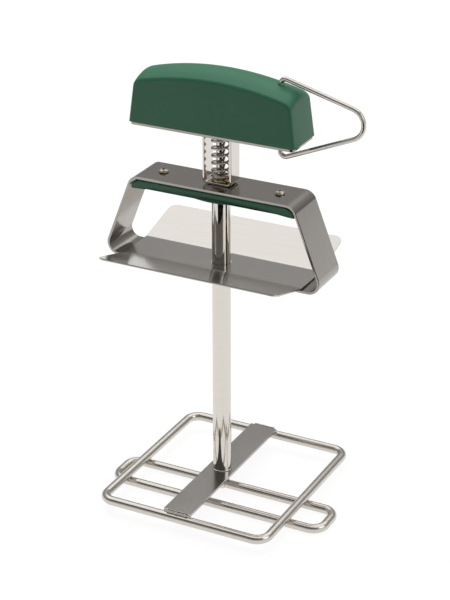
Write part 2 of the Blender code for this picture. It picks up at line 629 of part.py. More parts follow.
def build_handle():
    """Handle cover, base plate, their screws, and the rod with its nut and washers."""
    cover = piece("handle_cover", handle_block(), RUBBER, PLUNGER)
    pocket_x = STIRRUP_WIDTH / 2 + POCKET_CLEARANCE
    pocket_y = max(STIRRUP_DEPTH / 2, WASHER_RADIUS) + POCKET_CLEARANCE
    pocket_low = (-pocket_x, -pocket_y, HANDLE_BOTTOM - MM)
    pocket_high = (pocket_x, pocket_y, STIRRUP_TOP + TRAVEL + POCKET_HEADROOM)
    cut(cover, box("handle_pocket", pocket_low, pocket_high))

    outline = rounded_rectangle(HANDLE_LENGTH - 2 * PLATE_END_INSET, HANDLE_WIDTH - 2 * PLATE_SIDE_INSET,
                                PLATE_CORNER_RADIUS)
    plate_mesh = outline_xy("handle_base_plate", outline, PLATE_BOTTOM, PLATE_TOP)
    plate = piece("handle_base_plate", plate_mesh, BRUSHED, PLUNGER)
    above = PLATE_TOP + MM
    below = PLATE_BOTTOM - MM
    cut(plate, rod("rod_hole_in_plate", ROD_HOLE_RADIUS, below, above))
    for name, side in (("stirrup_slot_left", -1), ("stirrup_slot_right", 1)):
        middle = side * (STIRRUP_WIDTH - STIRRUP_THICKNESS) / 2
        half_x = STIRRUP_THICKNESS / 2 + 1.5 * FIT
        half_y = STIRRUP_DEPTH / 2 + 1.5 * FIT
        cut(plate, box(name, (middle - half_x, -half_y, below), (middle + half_x, half_y, above)))

    bore_radius = LOOP_WIRE_RADIUS + FIT
    bore_top = HANDLE_BOTTOM + HANDLE_SIDE_HEIGHT + 2 * HANDLE_ARCH
    cut(cover, rod("loop_bore", bore_radius, HANDLE_BOTTOM - MM, bore_top, (LOOP_PIVOT_X, 0), 24))
    cut(plate, rod("loop_hole_in_plate", bore_radius, below, above, (LOOP_PIVOT_X, 0), 24))

    screw_length = PLATE_THICKNESS + HANDLE_SCREW_BITE
    seat = PLATE_BOTTOM - FIT
    for name, side in (("handle_screw_left", -1), ("handle_screw_right", 1)):
        place = (side * HANDLE_SCREW_X, 0)
        hole_radius = SCREW_SHANK_RADIUS + FIT
        cut(plate, rod(name + "_hole", hole_radius, below, above, place, 24))
        socket_top = seat + screw_length + FIT
        cut(cover, rod(name + "_socket", hole_radius, HANDLE_BOTTOM - MM, socket_top, place, 24))
        make_screw(name, place[0], seat, screw_length, False, PLUNGER)

    piece("actuating_rod", rod("actuating_rod", ROD_RADIUS, 0, ROD_TOP), STEEL, PLUNGER)
    washer = sleeve("rod_washer", ROD_HOLE_RADIUS, WASHER_RADIUS, ROD_WASHER_BOTTOM,
                    ROD_WASHER_BOTTOM + WASHER_THICKNESS)
    piece("rod_washer", washer, STEEL, PLUNGER)
    spring_washer = sleeve("spring_washer", ROD_HOLE_RADIUS, SPRING_OUTER_RADIUS + FIT,
                           SPRING_WASHER_TOP - WASHER_THICKNESS, SPRING_WASHER_TOP)
    piece("spring_washer", spring_washer, STEEL, PLUNGER)
    corner_radius = NUT_ACROSS_FLATS / 2 / math.cos(math.pi / 6)
    nut_mesh = rod("rod_nut", corner_radius, NUT_BOTTOM, NUT_BOTTOM + NUT_HEIGHT, segments=6)
    nut = piece("rod_nut", nut_mesh, STEEL, PLUNGER)
    cut(nut, rod("nut_bore", ROD_HOLE_RADIUS, NUT_BOTTOM - MM, NUT_BOTTOM + NUT_HEIGHT + MM))


def build_hook():
    """Hook loop: one wire whose two ends meet the bottom of the rod."""
    start = ROD_RADIUS + FIT
    right = HOOK_SHIFT_X + HOOK_LENGTH / 2
    left = HOOK_SHIFT_X - HOOK_LENGTH / 2
    corners = [(start, 0), (right, 0), (right, -HOOK_DEPTH), (left, -HOOK_DEPTH), (left, 0), (-start, 0)]
    path = [(across, along, HOOK_Z) for across, along in bent(corners, HOOK_CORNER_RADIUS)]
    piece("hook_loop", wire("hook_loop", path, WIRE_RADIUS), STEEL, PLUNGER)
    for name, side in (("hook_weld_left", -1), ("hook_weld_right", 1)):
        shape = bmesh.new()
        place = (side * (ROD_RADIUS + WELD_RADIUS + FIT), 0, HOOK_Z + WIRE_RADIUS + WELD_RADIUS + 0.5 * FIT)
        bmesh.ops.create_uvsphere(shape, u_segments=16, v_segments=10, radius=WELD_RADIUS,
                                  matrix=Matrix.Translation(place))
        piece(name, mesh_from_bmesh(name, shape), STEEL, PLUNGER)


def build_loop():
    """Hanging loop: a wire triangle with a round nose, pivoted in the handle's bore."""
    crest = HANDLE_BOTTOM + LOOP_CREST
    half_angle = (math.atan(-LOOP_UPPER_SLOPE) + math.atan(LOOP_LOWER_SLOPE)) / 2
    apex_x = LOOP_NOSE_X + LOOP_NOSE_RADIUS / math.sin(half_angle) - LOOP_NOSE_RADIUS
    apex_z = crest + LOOP_UPPER_SLOPE * (apex_x - LOOP_PIVOT_X)
    heel = apex_z - LOOP_LOWER_SLOPE * (apex_x - LOOP_PIVOT_X)
    far = Vector((apex_x, apex_z))
    top_end = (LOOP_PIVOT_X, crest - LOOP_TOP_END)
    low_end = (LOOP_PIVOT_X, HANDLE_BOTTOM + LOOP_END_DEPTH)
    top_turn = bent([top_end, (LOOP_PIVOT_X, crest), far], LOOP_BEND_RADIUS)
    nose = bent([(LOOP_PIVOT_X, crest), far, (LOOP_PIVOT_X, heel)], LOOP_NOSE_RADIUS, steps=12)
    low_turn = bent([far, (LOOP_PIVOT_X, heel), low_end], LOOP_BEND_RADIUS)
    path = top_turn[:-1] + nose[1:-1] + low_turn[1:]
    points = [(across, 0, up) for across, up in path]
    piece("hanging_loop", wire("hanging_loop", points, LOOP_WIRE_RADIUS), STEEL, LOOP)


def centre_on_origin():
    """Move the assembly so that the origin is under the middle of its bounding box."""
    bpy.context.view_layer.update()
    corners = []
    for thing in PARTS.objects:
        if thing.type == "MESH":
            corners += [thing.matrix_world @ Vector(corner) for corner in thing.bound_box]
    low = Vector(min(corner[axis] for corner in corners) for axis in range(3))
    high = Vector(max(corner[axis] for corner in corners) for axis in range(3))
    PLUNGER.location = (-(low.x + high.x) / 2, -(low.y + high.y) / 2, -low.z)


for old in list(bpy.data.objects):
    bpy.data.objects.remove(old)

PARTS = collection("grid_gripper")
CUTTERS = collection("cutters")

STEEL = material("polished_steel", (0.62, 0.60, 0.57), 0.18, 1.0)
BRUSHED = material("brushed_steel", (0.45, 0.43, 0.41), 0.35, 1.0)
SHEET = material("shield_sheet", (0.60, 0.58, 0.56), 0.28, 1.0)
RUBBER = material("green_rubber", (0.024, 0.085, 0.055), 0.6, 0.0)
BRASS = material("brass", (0.70, 0.55, 0.28), 0.3, 1.0)

PLUNGER = empty("plunger_axis", (0, 0, 0))
BODY = empty("post_axis", (0, 0, 0), PLUNGER)
LOOP = empty("loop_pivot", (LOOP_PIVOT_X, 0, HANDLE_BOTTOM), PLUNGER)

build_foot()
build_grip()
build_stirrup()
build_handle()
build_hook()
build_loop()
centre_on_origin()
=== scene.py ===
"""Looks of a spring-loaded grid gripper: finishes, fine surfaces, studio and camera.

Shapes are modelled about the post's axis, in metres, and moved to where the frame holds the post.
"""

import json
import logging
import math
from dataclasses import dataclass
from enum import Enum

import bmesh
import bpy
from mathutils import Matrix, Vector


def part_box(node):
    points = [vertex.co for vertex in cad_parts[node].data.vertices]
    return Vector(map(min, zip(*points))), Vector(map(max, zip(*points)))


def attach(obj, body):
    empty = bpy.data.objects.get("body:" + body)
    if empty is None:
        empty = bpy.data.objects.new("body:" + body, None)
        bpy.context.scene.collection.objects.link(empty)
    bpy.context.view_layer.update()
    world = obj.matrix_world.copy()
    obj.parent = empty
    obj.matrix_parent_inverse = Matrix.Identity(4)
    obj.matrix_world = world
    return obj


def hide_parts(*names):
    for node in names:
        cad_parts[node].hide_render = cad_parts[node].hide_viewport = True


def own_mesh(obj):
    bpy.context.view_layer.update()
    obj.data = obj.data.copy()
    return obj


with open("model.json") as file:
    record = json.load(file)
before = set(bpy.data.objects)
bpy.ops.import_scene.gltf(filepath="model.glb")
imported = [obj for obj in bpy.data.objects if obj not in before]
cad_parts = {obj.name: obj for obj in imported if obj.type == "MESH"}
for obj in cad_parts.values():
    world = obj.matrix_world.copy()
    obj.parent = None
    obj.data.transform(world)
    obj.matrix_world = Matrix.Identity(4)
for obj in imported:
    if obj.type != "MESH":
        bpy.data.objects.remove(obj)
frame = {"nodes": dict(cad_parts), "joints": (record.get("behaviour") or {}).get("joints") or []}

MM = 0.001
FIT = 0.3 * MM
LOG = logging.getLogger("grid_gripper")
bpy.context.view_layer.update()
Point = tuple[float, float]
SHARP_ANGLE = math.radians(38)  # a real edge, rather than a step of a curve
MERGE_DISTANCE = 0.0005 * MM


class Body(Enum):
    """The bodies that move as one."""

    BASE = "base"
    PLUNGER = "plunger"
    LOOP = "hanging_loop"


class Grain(Enum):
    """Which way a surface's fine lines run."""

    STRIP = (0, 1, 0)
    LENGTHWAYS = (1, 0, 0)
    ROUND = (0, 0, 1)
    NONE = (1, 1, 1)


def cad_box(node: str) -> tuple[Vector, Vector]:
    """Return the lowest and the highest corner of a CAD node's box."""
    low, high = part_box(node)
    return Vector(low), Vector(high)


def joint(name: str) -> dict:
    """Return a joint of the frame."""
    return next(entry for entry in frame["joints"] if entry["name"] == name)


def quarter_turn(steps: int = 8) -> list[float]:
    """Return evenly spaced angles from nothing to a right angle."""
    return [math.pi / 2 * step / steps for step in range(steps + 1)]


def linear(colour: str) -> tuple[float, float, float, float]:
    """Turn an sRGB hex colour into linear RGBA.

    Args:
        colour: Six hex digits after a hash.

    Returns:
        Linear red, green and blue, with alpha 1.
    """
    shares = [int(colour[at:at + 2], 16) / 255 for at in (1, 3, 5)]
    flat = [s / 12.92 if s <= 0.04045 else ((s + 0.055) / 1.055) ** 2.4 for s in shares]
    return (flat[0], flat[1], flat[2], 1.0)


def add_node(tree: bpy.types.NodeTree, kind: str, settings: dict | None = None,
             inputs: dict | None = None) -> bpy.types.Node:
    """Add a node with its settings and links.

    Args:
        tree: Tree that takes the node.
        kind: Node type.
        settings: Properties of the node.
        inputs: For each input, by name or number, a value or the socket to link from.

    Returns:
        The new node.
    """
    node = tree.nodes.new(kind)
    for name, value in (settings or {}).items():
        setattr(node, name, value)
    for name, value in (inputs or {}).items():
        if isinstance(value, bpy.types.NodeSocket):
            tree.links.new(value, node.inputs[name])
        else:
            node.inputs[name].default_value = value
    return node


def blank_material(name: str) -> tuple[bpy.types.Material, bpy.types.NodeTree]:
    """Return a new material and its emptied tree.

    Args:
        name: Name of the material.

    Returns:
        The material and its tree.
    """
    made = bpy.data.materials.new(name)
    made.use_nodes = True
    made.node_tree.nodes.clear()
    return made, made.node_tree


def shown_rays(tree: bpy.types.NodeTree) -> bpy.types.NodeSocket:
    """Return a socket that is 1 for camera, glossy and transmission rays, and 0 for the rest.

    Args:
        tree: Tree that takes the nodes.

    Returns:
        The socket.
    """
    rays = add_node(tree, "ShaderNodeLightPath").outputs
    shown = add_node(tree, "ShaderNodeMath", {"operation": "MAXIMUM"},
                     {0: rays["Is Camera Ray"], 1: rays["Is Glossy Ray"]}).outputs[0]
    return add_node(tree, "ShaderNodeMath", {"operation": "MAXIMUM"},
                    {0: shown, 1: rays["Is Transmission Ray"]}).outputs[0]


@dataclass(frozen=True)
class Steel:
    """Stainless steel, which takes its look from how it was rolled, drawn or polished."""

    name: str
    colour: str
    dull_colour: str
    roughness: float
    spread: float
    grain: Grain
    line_spacing: float = 1.1 * MM  # real lines are about 0.1 mm; drawn coarser so that they show
    line_length: float = 60 * MM
    line_depth: float = 0.006 * MM
    smudge: float = 28 * MM  # size of the faint cloudy patches left by handling
    noise_range: Point = (0.12, 0.42)  # where lines times patches mostly lie
    relief: float = 0.6

    def build(self) -> bpy.types.Material:
        """Return the material: fine lines for colour, gloss and relief, and faint patches.

        Returns:
            The material.
        """
        made, tree = blank_material(self.name)
        scale = [1 / (self.line_spacing if across else self.line_length) for across in self.grain.value]
        place = add_node(tree, "ShaderNodeTexCoord").outputs["Object"]
        stretched = add_node(tree, "ShaderNodeMapping", inputs={"Vector": place, "Scale": scale})
        lines = add_node(tree, "ShaderNodeTexNoise",
                         inputs={"Vector": stretched.outputs[0], "Scale": 1.0, "Detail": 3.0})
        patches = add_node(tree, "ShaderNodeTexNoise",
                           inputs={"Vector": place, "Scale": 1 / self.smudge, "Detail": 2.0})
        both = add_node(tree, "ShaderNodeMath", {"operation": "MULTIPLY"},
                        {0: lines.outputs[0], 1: patches.outputs[0]})
        gloss = add_node(tree, "ShaderNodeMapRange", inputs={
            "Value": both.outputs[0], "From Min": self.noise_range[0], "From Max": self.noise_range[1],
            "To Min": self.roughness - self.spread, "To Max": self.roughness + self.spread})
        shade = add_node(tree, "ShaderNodeMix", {"data_type": "RGBA"}, {
            0: lines.outputs[0], 6: linear(self.colour), 7: linear(self.dull_colour)})
        relief = add_node(tree, "ShaderNodeBump", inputs={
            "Height": lines.outputs[0], "Strength": self.relief, "Distance": self.line_depth})
        shader = add_node(tree, "ShaderNodeBsdfPrincipled", inputs={
            "Base Color": shade.outputs[2], "Roughness": gloss.outputs[0], "Metallic": 1.0,
            "Normal": relief.outputs[0]})
        add_node(tree, "ShaderNodeOutputMaterial", inputs={"Surface": shader.outputs[0]})
        return made


@dataclass(frozen=True)
class Rubber:
    """Soft moulded thermoplastic rubber: matt, with a fine spark-eroded grain."""

    name: str
    colour: str
    pale_colour: str
    roughness: float
    grain_size: float = 1.3 * MM  # real grain is about 0.2 mm; drawn coarser so that it shows
    grain_depth: float = 0.02 * MM
    flow: float = 24 * MM
    spread: float = 0.06
    relief: float = 0.5
    sheen: float = 0.26
    sheen_roughness: float = 0.3
    sheen_tint: str = "#D6F0E2"

    def build(self) -> bpy.types.Material:
        """Return the material: grain for relief and gloss, and faint clouding for colour.

        Returns:
            The material.
        """
        made, tree = blank_material(self.name)
        place = add_node(tree, "ShaderNodeTexCoord").outputs["Object"]
        grain = add_node(tree, "ShaderNodeTexNoise",
                         inputs={"Vector": place, "Scale": 1 / self.grain_size, "Detail": 2.0})
        cloud = add_node(tree, "ShaderNodeTexNoise",
                         inputs={"Vector": place, "Scale": 1 / self.flow, "Detail": 3.0})
        shade = add_node(tree, "ShaderNodeMix", {"data_type": "RGBA"}, {
            0: cloud.outputs[0], 6: linear(self.colour), 7: linear(self.pale_colour)})
        gloss = add_node(tree, "ShaderNodeMapRange", inputs={
            "Value": grain.outputs[0], "To Min": self.roughness - self.spread,
            "To Max": self.roughness + self.spread})
        relief = add_node(tree, "ShaderNodeBump", inputs={
            "Height": grain.outputs[0], "Strength": self.relief, "Distance": self.grain_depth})
        shader = add_node(tree, "ShaderNodeBsdfPrincipled", inputs={
            "Base Color": shade.outputs[2], "Roughness": gloss.outputs[0], "Normal": relief.outputs[0],
            "Sheen Weight": self.sheen, "Sheen Roughness": self.sheen_roughness,
            "Sheen Tint": linear(self.sheen_tint)})
        add_node(tree, "ShaderNodeOutputMaterial", inputs={"Surface": shader.outputs[0]})
        return made


@dataclass(frozen=True)
class Finishes:
    """Every finish on the object."""

    # Bent wire, tumbled and electropolished: bright, with almost no lines
    wire: Steel = Steel("electropolished_steel_wire", "#D2CDC6", "#C6C0B8", 0.21, 0.04, Grain.NONE, 3 * MM,
                        line_depth=0.001 * MM)
    # Drawn tube, polished on a lathe: faint rings
    tube: Steel = Steel("polished_steel_tube", "#DCD7D0", "#D2CCC4", 0.09, 0.02, Grain.ROUND,
                        line_depth=0.001 * MM)
    # Strip brushed along its length: long fine lines and a greyer tone
    strip: Steel = Steel("brushed_steel_strip", "#A8A39E", "#99948E", 0.18, 0.04, Grain.STRIP,
                         line_depth=0.0015 * MM)
    # The strap is brushed along its own length, across the object
    strap: Steel = Steel("brushed_steel_strap", "#BEBAB5", "#B0ACA7", 0.2, 0.03, Grain.LENGTHWAYS,
                         line_depth=0.001 * MM)
    # Cold rolled sheet with a bright mill finish
    sheet: Steel = Steel("bright_rolled_steel_sheet", "#C9C5C0", "#BFBBB5", 0.16, 0.03, Grain.STRIP,
                         line_depth=0.001 * MM)
    # Hard drawn spring wire
    spring: Steel = Steel("bright_drawn_spring_steel", "#D2CDC5", "#BBB5AC", 0.16, 0.04, Grain.NONE, 2 * MM)
    # Steel screws, tinted slightly warm
    screw: Steel = Steel("warm_tinted_steel_screw", "#CCC3B0", "#B3A998", 0.3, 0.05, Grain.NONE, 1.5 * MM)
    # Brushed weld seam, left a little brown by the heat
    weld: Steel = Steel("brushed_weld_seam", "#CBC5BD", "#B0A9A0", 0.15, 0.05, Grain.NONE, 1.2 * MM)
    # Turned bearing brass
    brass: Steel = Steel("turned_brass", "#C8B384", "#AD966A", 0.25, 0.05, Grain.ROUND)
    rubber: Rubber = Rubber("moulded_green_rubber", "#104E33", "#155539", 0.5)


@dataclass
class Bench:
    """What every sub-assembly needs: the finishes, made once, and the post's place."""

    materials: dict[str, bpy.types.Material]
    post_x: float

    def place(self, thing: bpy.types.Object, body: Body, slot: str, finish: str, *nodes: str) -> None:
        """Move a finished mesh to the post, dress it, and hang it on its body.

        Args:
            thing: Piece modelled about the post's axis.
            body: Body that it rides on.
            slot: Material slot of the record; not used.
            finish: Name of its finish.
            nodes: CAD nodes that it stands for.
        """
        thing.data.transform(Matrix.Translation((self.post_x, 0, 0)))
        thing.data.materials.clear()
        thing.data.materials.append(self.materials[finish])
        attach(thing, body.value)
        if nodes:
            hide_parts(*nodes)
        LOG.info("%s: %d faces, on %s", thing.name, len(thing.data.polygons), body.value)

    def dress(self, node: str, finish: str) -> None:
        """Give a CAD node, whose shape is right, its finish.

        Args:
            node: Name of the CAD node.
            finish: Name of its finish.
        """
        held = frame["nodes"][node]
        held.data.materials.clear()
        held.data.materials.append(self.materials[finish])
        LOG.info("%s keeps its shape, finish %s", node, finish)


def linked(name: str, mesh: bpy.types.Mesh) -> bpy.types.Object:
    """Return a new object in the scene for a mesh.

    Args:
        name: Name of the object.
        mesh: Its mesh.

    Returns:
        The object.
    """
    made = bpy.data.objects.new(name, mesh)
    bpy.context.scene.collection.objects.link(made)
    return made


def apply_modifiers(thing: bpy.types.Object) -> bpy.types.Mesh:
    """Turn an object's live modifiers into its plain mesh.

    Args:
        thing: Object with live modifiers.

    Returns:
        Its new mesh.
    """
    bpy.context.view_layer.update()
    evaluated = thing.evaluated_get(bpy.context.evaluated_depsgraph_get())
    mesh = bpy.data.meshes.new_from_object(evaluated)
    thing.modifiers.clear()
    thing.data = mesh
    return mesh


def settle(thing: bpy.types.Object) -> bpy.types.Object:
    """Turn an object's live modifiers into its plain mesh, smooth but for its real edges.

    Args:
        thing: Object with live modifiers.

    Returns:
        The same object.
    """
    mesh = apply_modifiers(thing)
    mesh.shade_smooth()
    mesh.set_sharp_from_angle(angle=SHARP_ANGLE)
    return thing


def keep_flat(thing: bpy.types.Object) -> bpy.types.Object:
    """Weight a piece's normals by face area, so that rounded edges don't bend the light on its flats.

    Args:
        thing: Finished piece.

    Returns:
        The same piece.
    """
    thing.modifiers.new("Flat faces", "WEIGHTED_NORMAL").keep_sharp = True
    mesh = apply_modifiers(thing)
    LOG.info("%s: weighted normals %s", thing.name, mesh.has_custom_normals)
    return thing


def from_bmesh(name: str, shape: bmesh.types.BMesh) -> bpy.types.Object:
    """Return an object for a bmesh with its faces pointing out.

    Args:
        name: Name of the object.
        shape: Its shape, which is freed.

    Returns:
        The object.
    """
    bmesh.ops.recalc_face_normals(shape, faces=shape.faces)
    mesh = bpy.data.meshes.new(name)
    shape.to_mesh(mesh)
    shape.free()
    return linked(name, mesh)


def soften(thing: bpy.types.Object, width: float, segments: int = 2, least: float = 50) -> None:
    """Round a piece's sharp edges.

    Args:
        thing: Piece that takes the Bevel modifier.
        width: Width of the rounding.
        segments: Steps round it.
        least: Smallest angle, in degrees, that is rounded.
    """
    bevel = thing.modifiers.new("Soft edges", "BEVEL")
    bevel.width = width
    bevel.segments = segments
    bevel.limit_method = "ANGLE"
    bevel.angle_limit = math.radians(least)


def drill(thing: bpy.types.Object, cutter: bpy.types.Object) -> None:
    """Cut one object out of another and delete the cutter.

    Args:
        thing: Object that is cut.
        cutter: Object that is cut out of it.
    """
    cut = thing.modifiers.new("Cut", "BOOLEAN")
    cut.object = cutter
    settle(thing)
    bpy.data.objects.remove(cutter)


def cylinder(radius: float, low: float, high: float, x: float = 0.0, sides: int = 96) -> bpy.types.Object:
    """Return an upright cylinder to cut with.

    Args:
        radius: Its radius.
        low: Height of its lower end.
        high: Height of its upper end.
        x: X of its axis.
        sides: Number of its sides.

    Returns:
        The cylinder.
    """
    shape = bmesh.new()
    bmesh.ops.create_cone(shape, cap_ends=True, segments=sides, radius1=radius, radius2=radius,
                          depth=high - low, matrix=Matrix.Translation((x, 0, (low + high) / 2)))
    return from_bmesh("cutter", shape)


def block(name: str, low: Vector, high: Vector) -> bpy.types.Object:
    """Return a box between two corners.

    Args:
        name: Name of the box.
        low: Its lowest corner.
        high: Its highest corner.

    Returns:
        The box.
    """
    shape = bmesh.new()
    size = Matrix.Diagonal((*(high - low), 1))
    bmesh.ops.create_cube(shape, size=1, matrix=Matrix.Translation((low + high) / 2) @ size)
    return from_bmesh(name, shape)


def turned(name: str, profile: list[Point], x: float = 0.0, closed: bool = True,
           steps: int = 96) -> bpy.types.Object:
    """Turn a profile of (radius, height) points about an upright axis.

    Args:
        name: Name of the piece.
        profile: Points of the profile.
        x: Place of the axis.
        closed: Whether the last point joins the first, as on a ring.
        steps: Sides round the piece.

    Returns:
        The turned piece.
    """
    shape = bmesh.new()
    points = [shape.verts.new((radius, 0, height)) for radius, height in profile]
    pairs = list(zip(points, points[1:] + points[:1]))
    edges = [shape.edges.new(pair) for pair in (pairs if closed else pairs[:-1])]
    bmesh.ops.spin(shape, geom=points + edges, axis=(0, 0, 1), cent=(0, 0, 0), dvec=(0, 0, 0),
                   angle=math.tau, steps=steps)
    bmesh.ops.remove_doubles(shape, verts=shape.verts, dist=MERGE_DISTANCE)
    bmesh.ops.translate(shape, verts=shape.verts, vec=(x, 0, 0))
    return settle(from_bmesh(name, shape))


def sleeve(name: str, inner: float, outer: float, low: float, high: float,
           chamfer: float) -> bpy.types.Object:
    """Return a tube or washer with chamfered outer rims."""
    return turned(name, [(inner, high), (outer - chamfer, high), (outer, high - chamfer),
                         (outer, low + chamfer), (outer - chamfer, low), (inner, low)])


def rounded(corners: list[Vector], radius: float, closed: bool = False, steps: int = 14) -> list[Vector]:
    """Round the corners of a path.

    Args:
        corners: Corners in order, in two or three dimensions.
        radius: Bend radius.
        closed: Whether the path comes back to its start.
        steps: Steps round each bend.

    Returns:
        The path's points.
    """
    points = []
    for index, here in enumerate(corners):
        if not closed and index in (0, len(corners) - 1):
            points.append(here)
            continue
        back = (corners[index - 1] - here).normalized()
        ahead = (corners[(index + 1) % len(corners)] - here).normalized()
        half = back.angle(ahead) / 2
        middle = here + (back + ahead).normalized() * (radius / math.sin(half))
        first = here + back * (radius / math.tan(half)) - middle
        last = here + ahead * (radius / math.tan(half)) - middle
        turn = first.angle(last)
        for step in range(steps + 1):
            share = step / steps
            arm = first * math.sin((1 - share) * turn) + last * math.sin(share * turn)
            points.append(middle + arm / math.sin(turn))
    return points


def strip(name: str, path: list[Vector], thickness: float, width: float) -> bpy.types.Object:
    """Sweep a flat strip along a path in X and Z, centred on Y = 0, with broken edges.

    Args:
        name: Name of the piece.
        path: Middle line of the strip, in X and Z.
        thickness: Thickness of the strip.
        width: Width along Y.

    Returns:
        The strip.
    """
    shape = bmesh.new()
    rings = []
    for index, here in enumerate(path):
        runs = []
        if index > 0:
            runs.append((here - path[index - 1]).normalized())
        if index < len(path) - 1:
            runs.append((path[index + 1] - here).normalized())
        along = sum(runs, Vector((0, 0))).normalized()
        side = Vector((-along.y, along.x)) * (thickness / 2 / along.dot(runs[0]))
        corners = [(here + side, -1), (here + side, 1), (here - side, 1), (here - side, -1)]
        rings.append([shape.verts.new((spot.x, way * width / 2, spot.y)) for spot, way in corners])
    for ring, after in zip(rings, rings[1:]):
        for turn in range(4):
            following = (turn + 1) % 4
            shape.faces.new((ring[turn], ring[following], after[following], after[turn]))
    shape.faces.new(rings[0])
    shape.faces.new(rings[-1][::-1])
    made = from_bmesh(name, shape)
    soften(made, 0.3 * MM)
    return settle(made)


def outline_block(outline: list[Point], depth: float) -> bmesh.types.BMesh:
    """Return a bmesh of an outline in X and Z with a depth along Y.

    Args:
        outline: Corners of the outline, in order.
        depth: Depth along Y.

    Returns:
        The bmesh.
    """
    shape = bmesh.new()
    front = shape.faces.new([shape.verts.new((across, -depth / 2, up)) for across, up in outline])
    grown = bmesh.ops.extrude_face_region(shape, geom=[front])
    moved = [item for item in grown["geom"] if isinstance(item, bmesh.types.BMVert)]
    bmesh.ops.translate(shape, verts=moved, vec=(0, depth, 0))
    return shape


def path_object(name: str, points: list[Vector], closed: bool) -> bpy.types.Object:
    """Return a path of edges for a Geometry Nodes tree to follow.

    Args:
        name: Name of the object.
        points: Points of the path.
        closed: Whether the last point joins the first.

    Returns:
        The object.
    """
    mesh = bpy.data.meshes.new(name)
    count = len(points)
    edges = [(at, (at + 1) % count) for at in range(count if closed else count - 1)]
    mesh.from_pydata([tuple(point) for point in points], edges, [])
    return linked(name, mesh)


class Tree:
    """A Geometry Nodes tree with named inputs, which ends in Realize Instances and Set Material."""

    def __init__(self, name: str, numbers: dict[str, float], objects: tuple[str, ...] = ()) -> None:
        """Make the tree's interface.

        Args:
            name: Name of the tree.
            numbers: Named sizes and their values.
            objects: Names of inputs that take an object.
        """
        self.tree = bpy.data.node_groups.new(name, "GeometryNodeTree")
        self.tree.interface.new_socket("Geometry", in_out="INPUT", socket_type="NodeSocketGeometry")
        self.tree.interface.new_socket("Geometry", in_out="OUTPUT", socket_type="NodeSocketGeometry")
        self.keys = {}
        for label, value in numbers.items():
            socket = self.tree.interface.new_socket(label, in_out="INPUT", socket_type="NodeSocketFloat")
            socket.default_value = value
            self.keys[label] = socket.identifier
        for label in objects:
            socket = self.tree.interface.new_socket(label, in_out="INPUT", socket_type="NodeSocketObject")
            self.keys[label] = socket.identifier
        material = self.tree.interface.new_socket("Material", in_out="INPUT",
                                                  socket_type="NodeSocketMaterial")
        self.keys["Material"] = material.identifier
        self.given = self.tree.nodes.new("NodeGroupInput").outputs

    def add(self, kind: str, settings: dict | None = None, inputs: dict | None = None) -> bpy.types.Node:
        """Add a node to the tree."""
        return add_node(self.tree, kind, settings, inputs)

    def maths(self, operation: str, first: object, second: object = 0.0) -> bpy.types.NodeSocket:
        """Add one step of arithmetic and return its result."""
        return self.add("ShaderNodeMath", {"operation": operation}, {0: first, 1: second}).outputs[0]

    def close(self, result: bpy.types.NodeSocket) -> None:
        """End the tree.

        Args:
            result: Socket with the shape to smooth, realize and dress.
        """
        smooth = self.add("GeometryNodeSetShadeSmooth", inputs={0: result}).outputs[0]
        plain = self.add("GeometryNodeRealizeInstances", inputs={0: smooth}).outputs[0]
        dressed = self.add("GeometryNodeSetMaterial",
                           inputs={"Geometry": plain, "Material": self.given["Material"]}).outputs[0]
        self.add("NodeGroupOutput", inputs={0: dressed})

    def apply(self, thing: bpy.types.Object, material: bpy.types.Material,
              **values: object) -> bpy.types.Object:
        """Run the tree on an object and keep the plain mesh.

        Args:
            thing: Object that the tree works on.
            material: Material that it sets.
            values: Inputs that differ from their defaults, with _ for a space.

        Returns:
            The same object with its new mesh.
        """
        modifier = thing.modifiers.new(self.tree.name, "NODES")
        modifier.node_group = self.tree
        modifier[self.keys["Material"]] = material
        for label, value in values.items():
            modifier[self.keys[label.replace("_", " ")]] = value
        return settle(thing)


def wire_tree() -> Tree:
    """Return the tree that sweeps round wire along a path.

    Returns:
        The tree.
    """
    made = Tree("round_wire", {"Radius": MM})
    route = made.add("GeometryNodeMeshToCurve", inputs={0: made.given["Geometry"]}).outputs[0]
    ring = made.add("GeometryNodeCurvePrimitiveCircle", inputs={
        "Resolution": 32, "Radius": made.given["Radius"]}).outputs[0]
    swept = made.add("GeometryNodeCurveToMesh", inputs={"Curve": route, "Profile Curve": ring,
                                                        "Fill Caps": True}).outputs[0]
    made.close(swept)
    return made


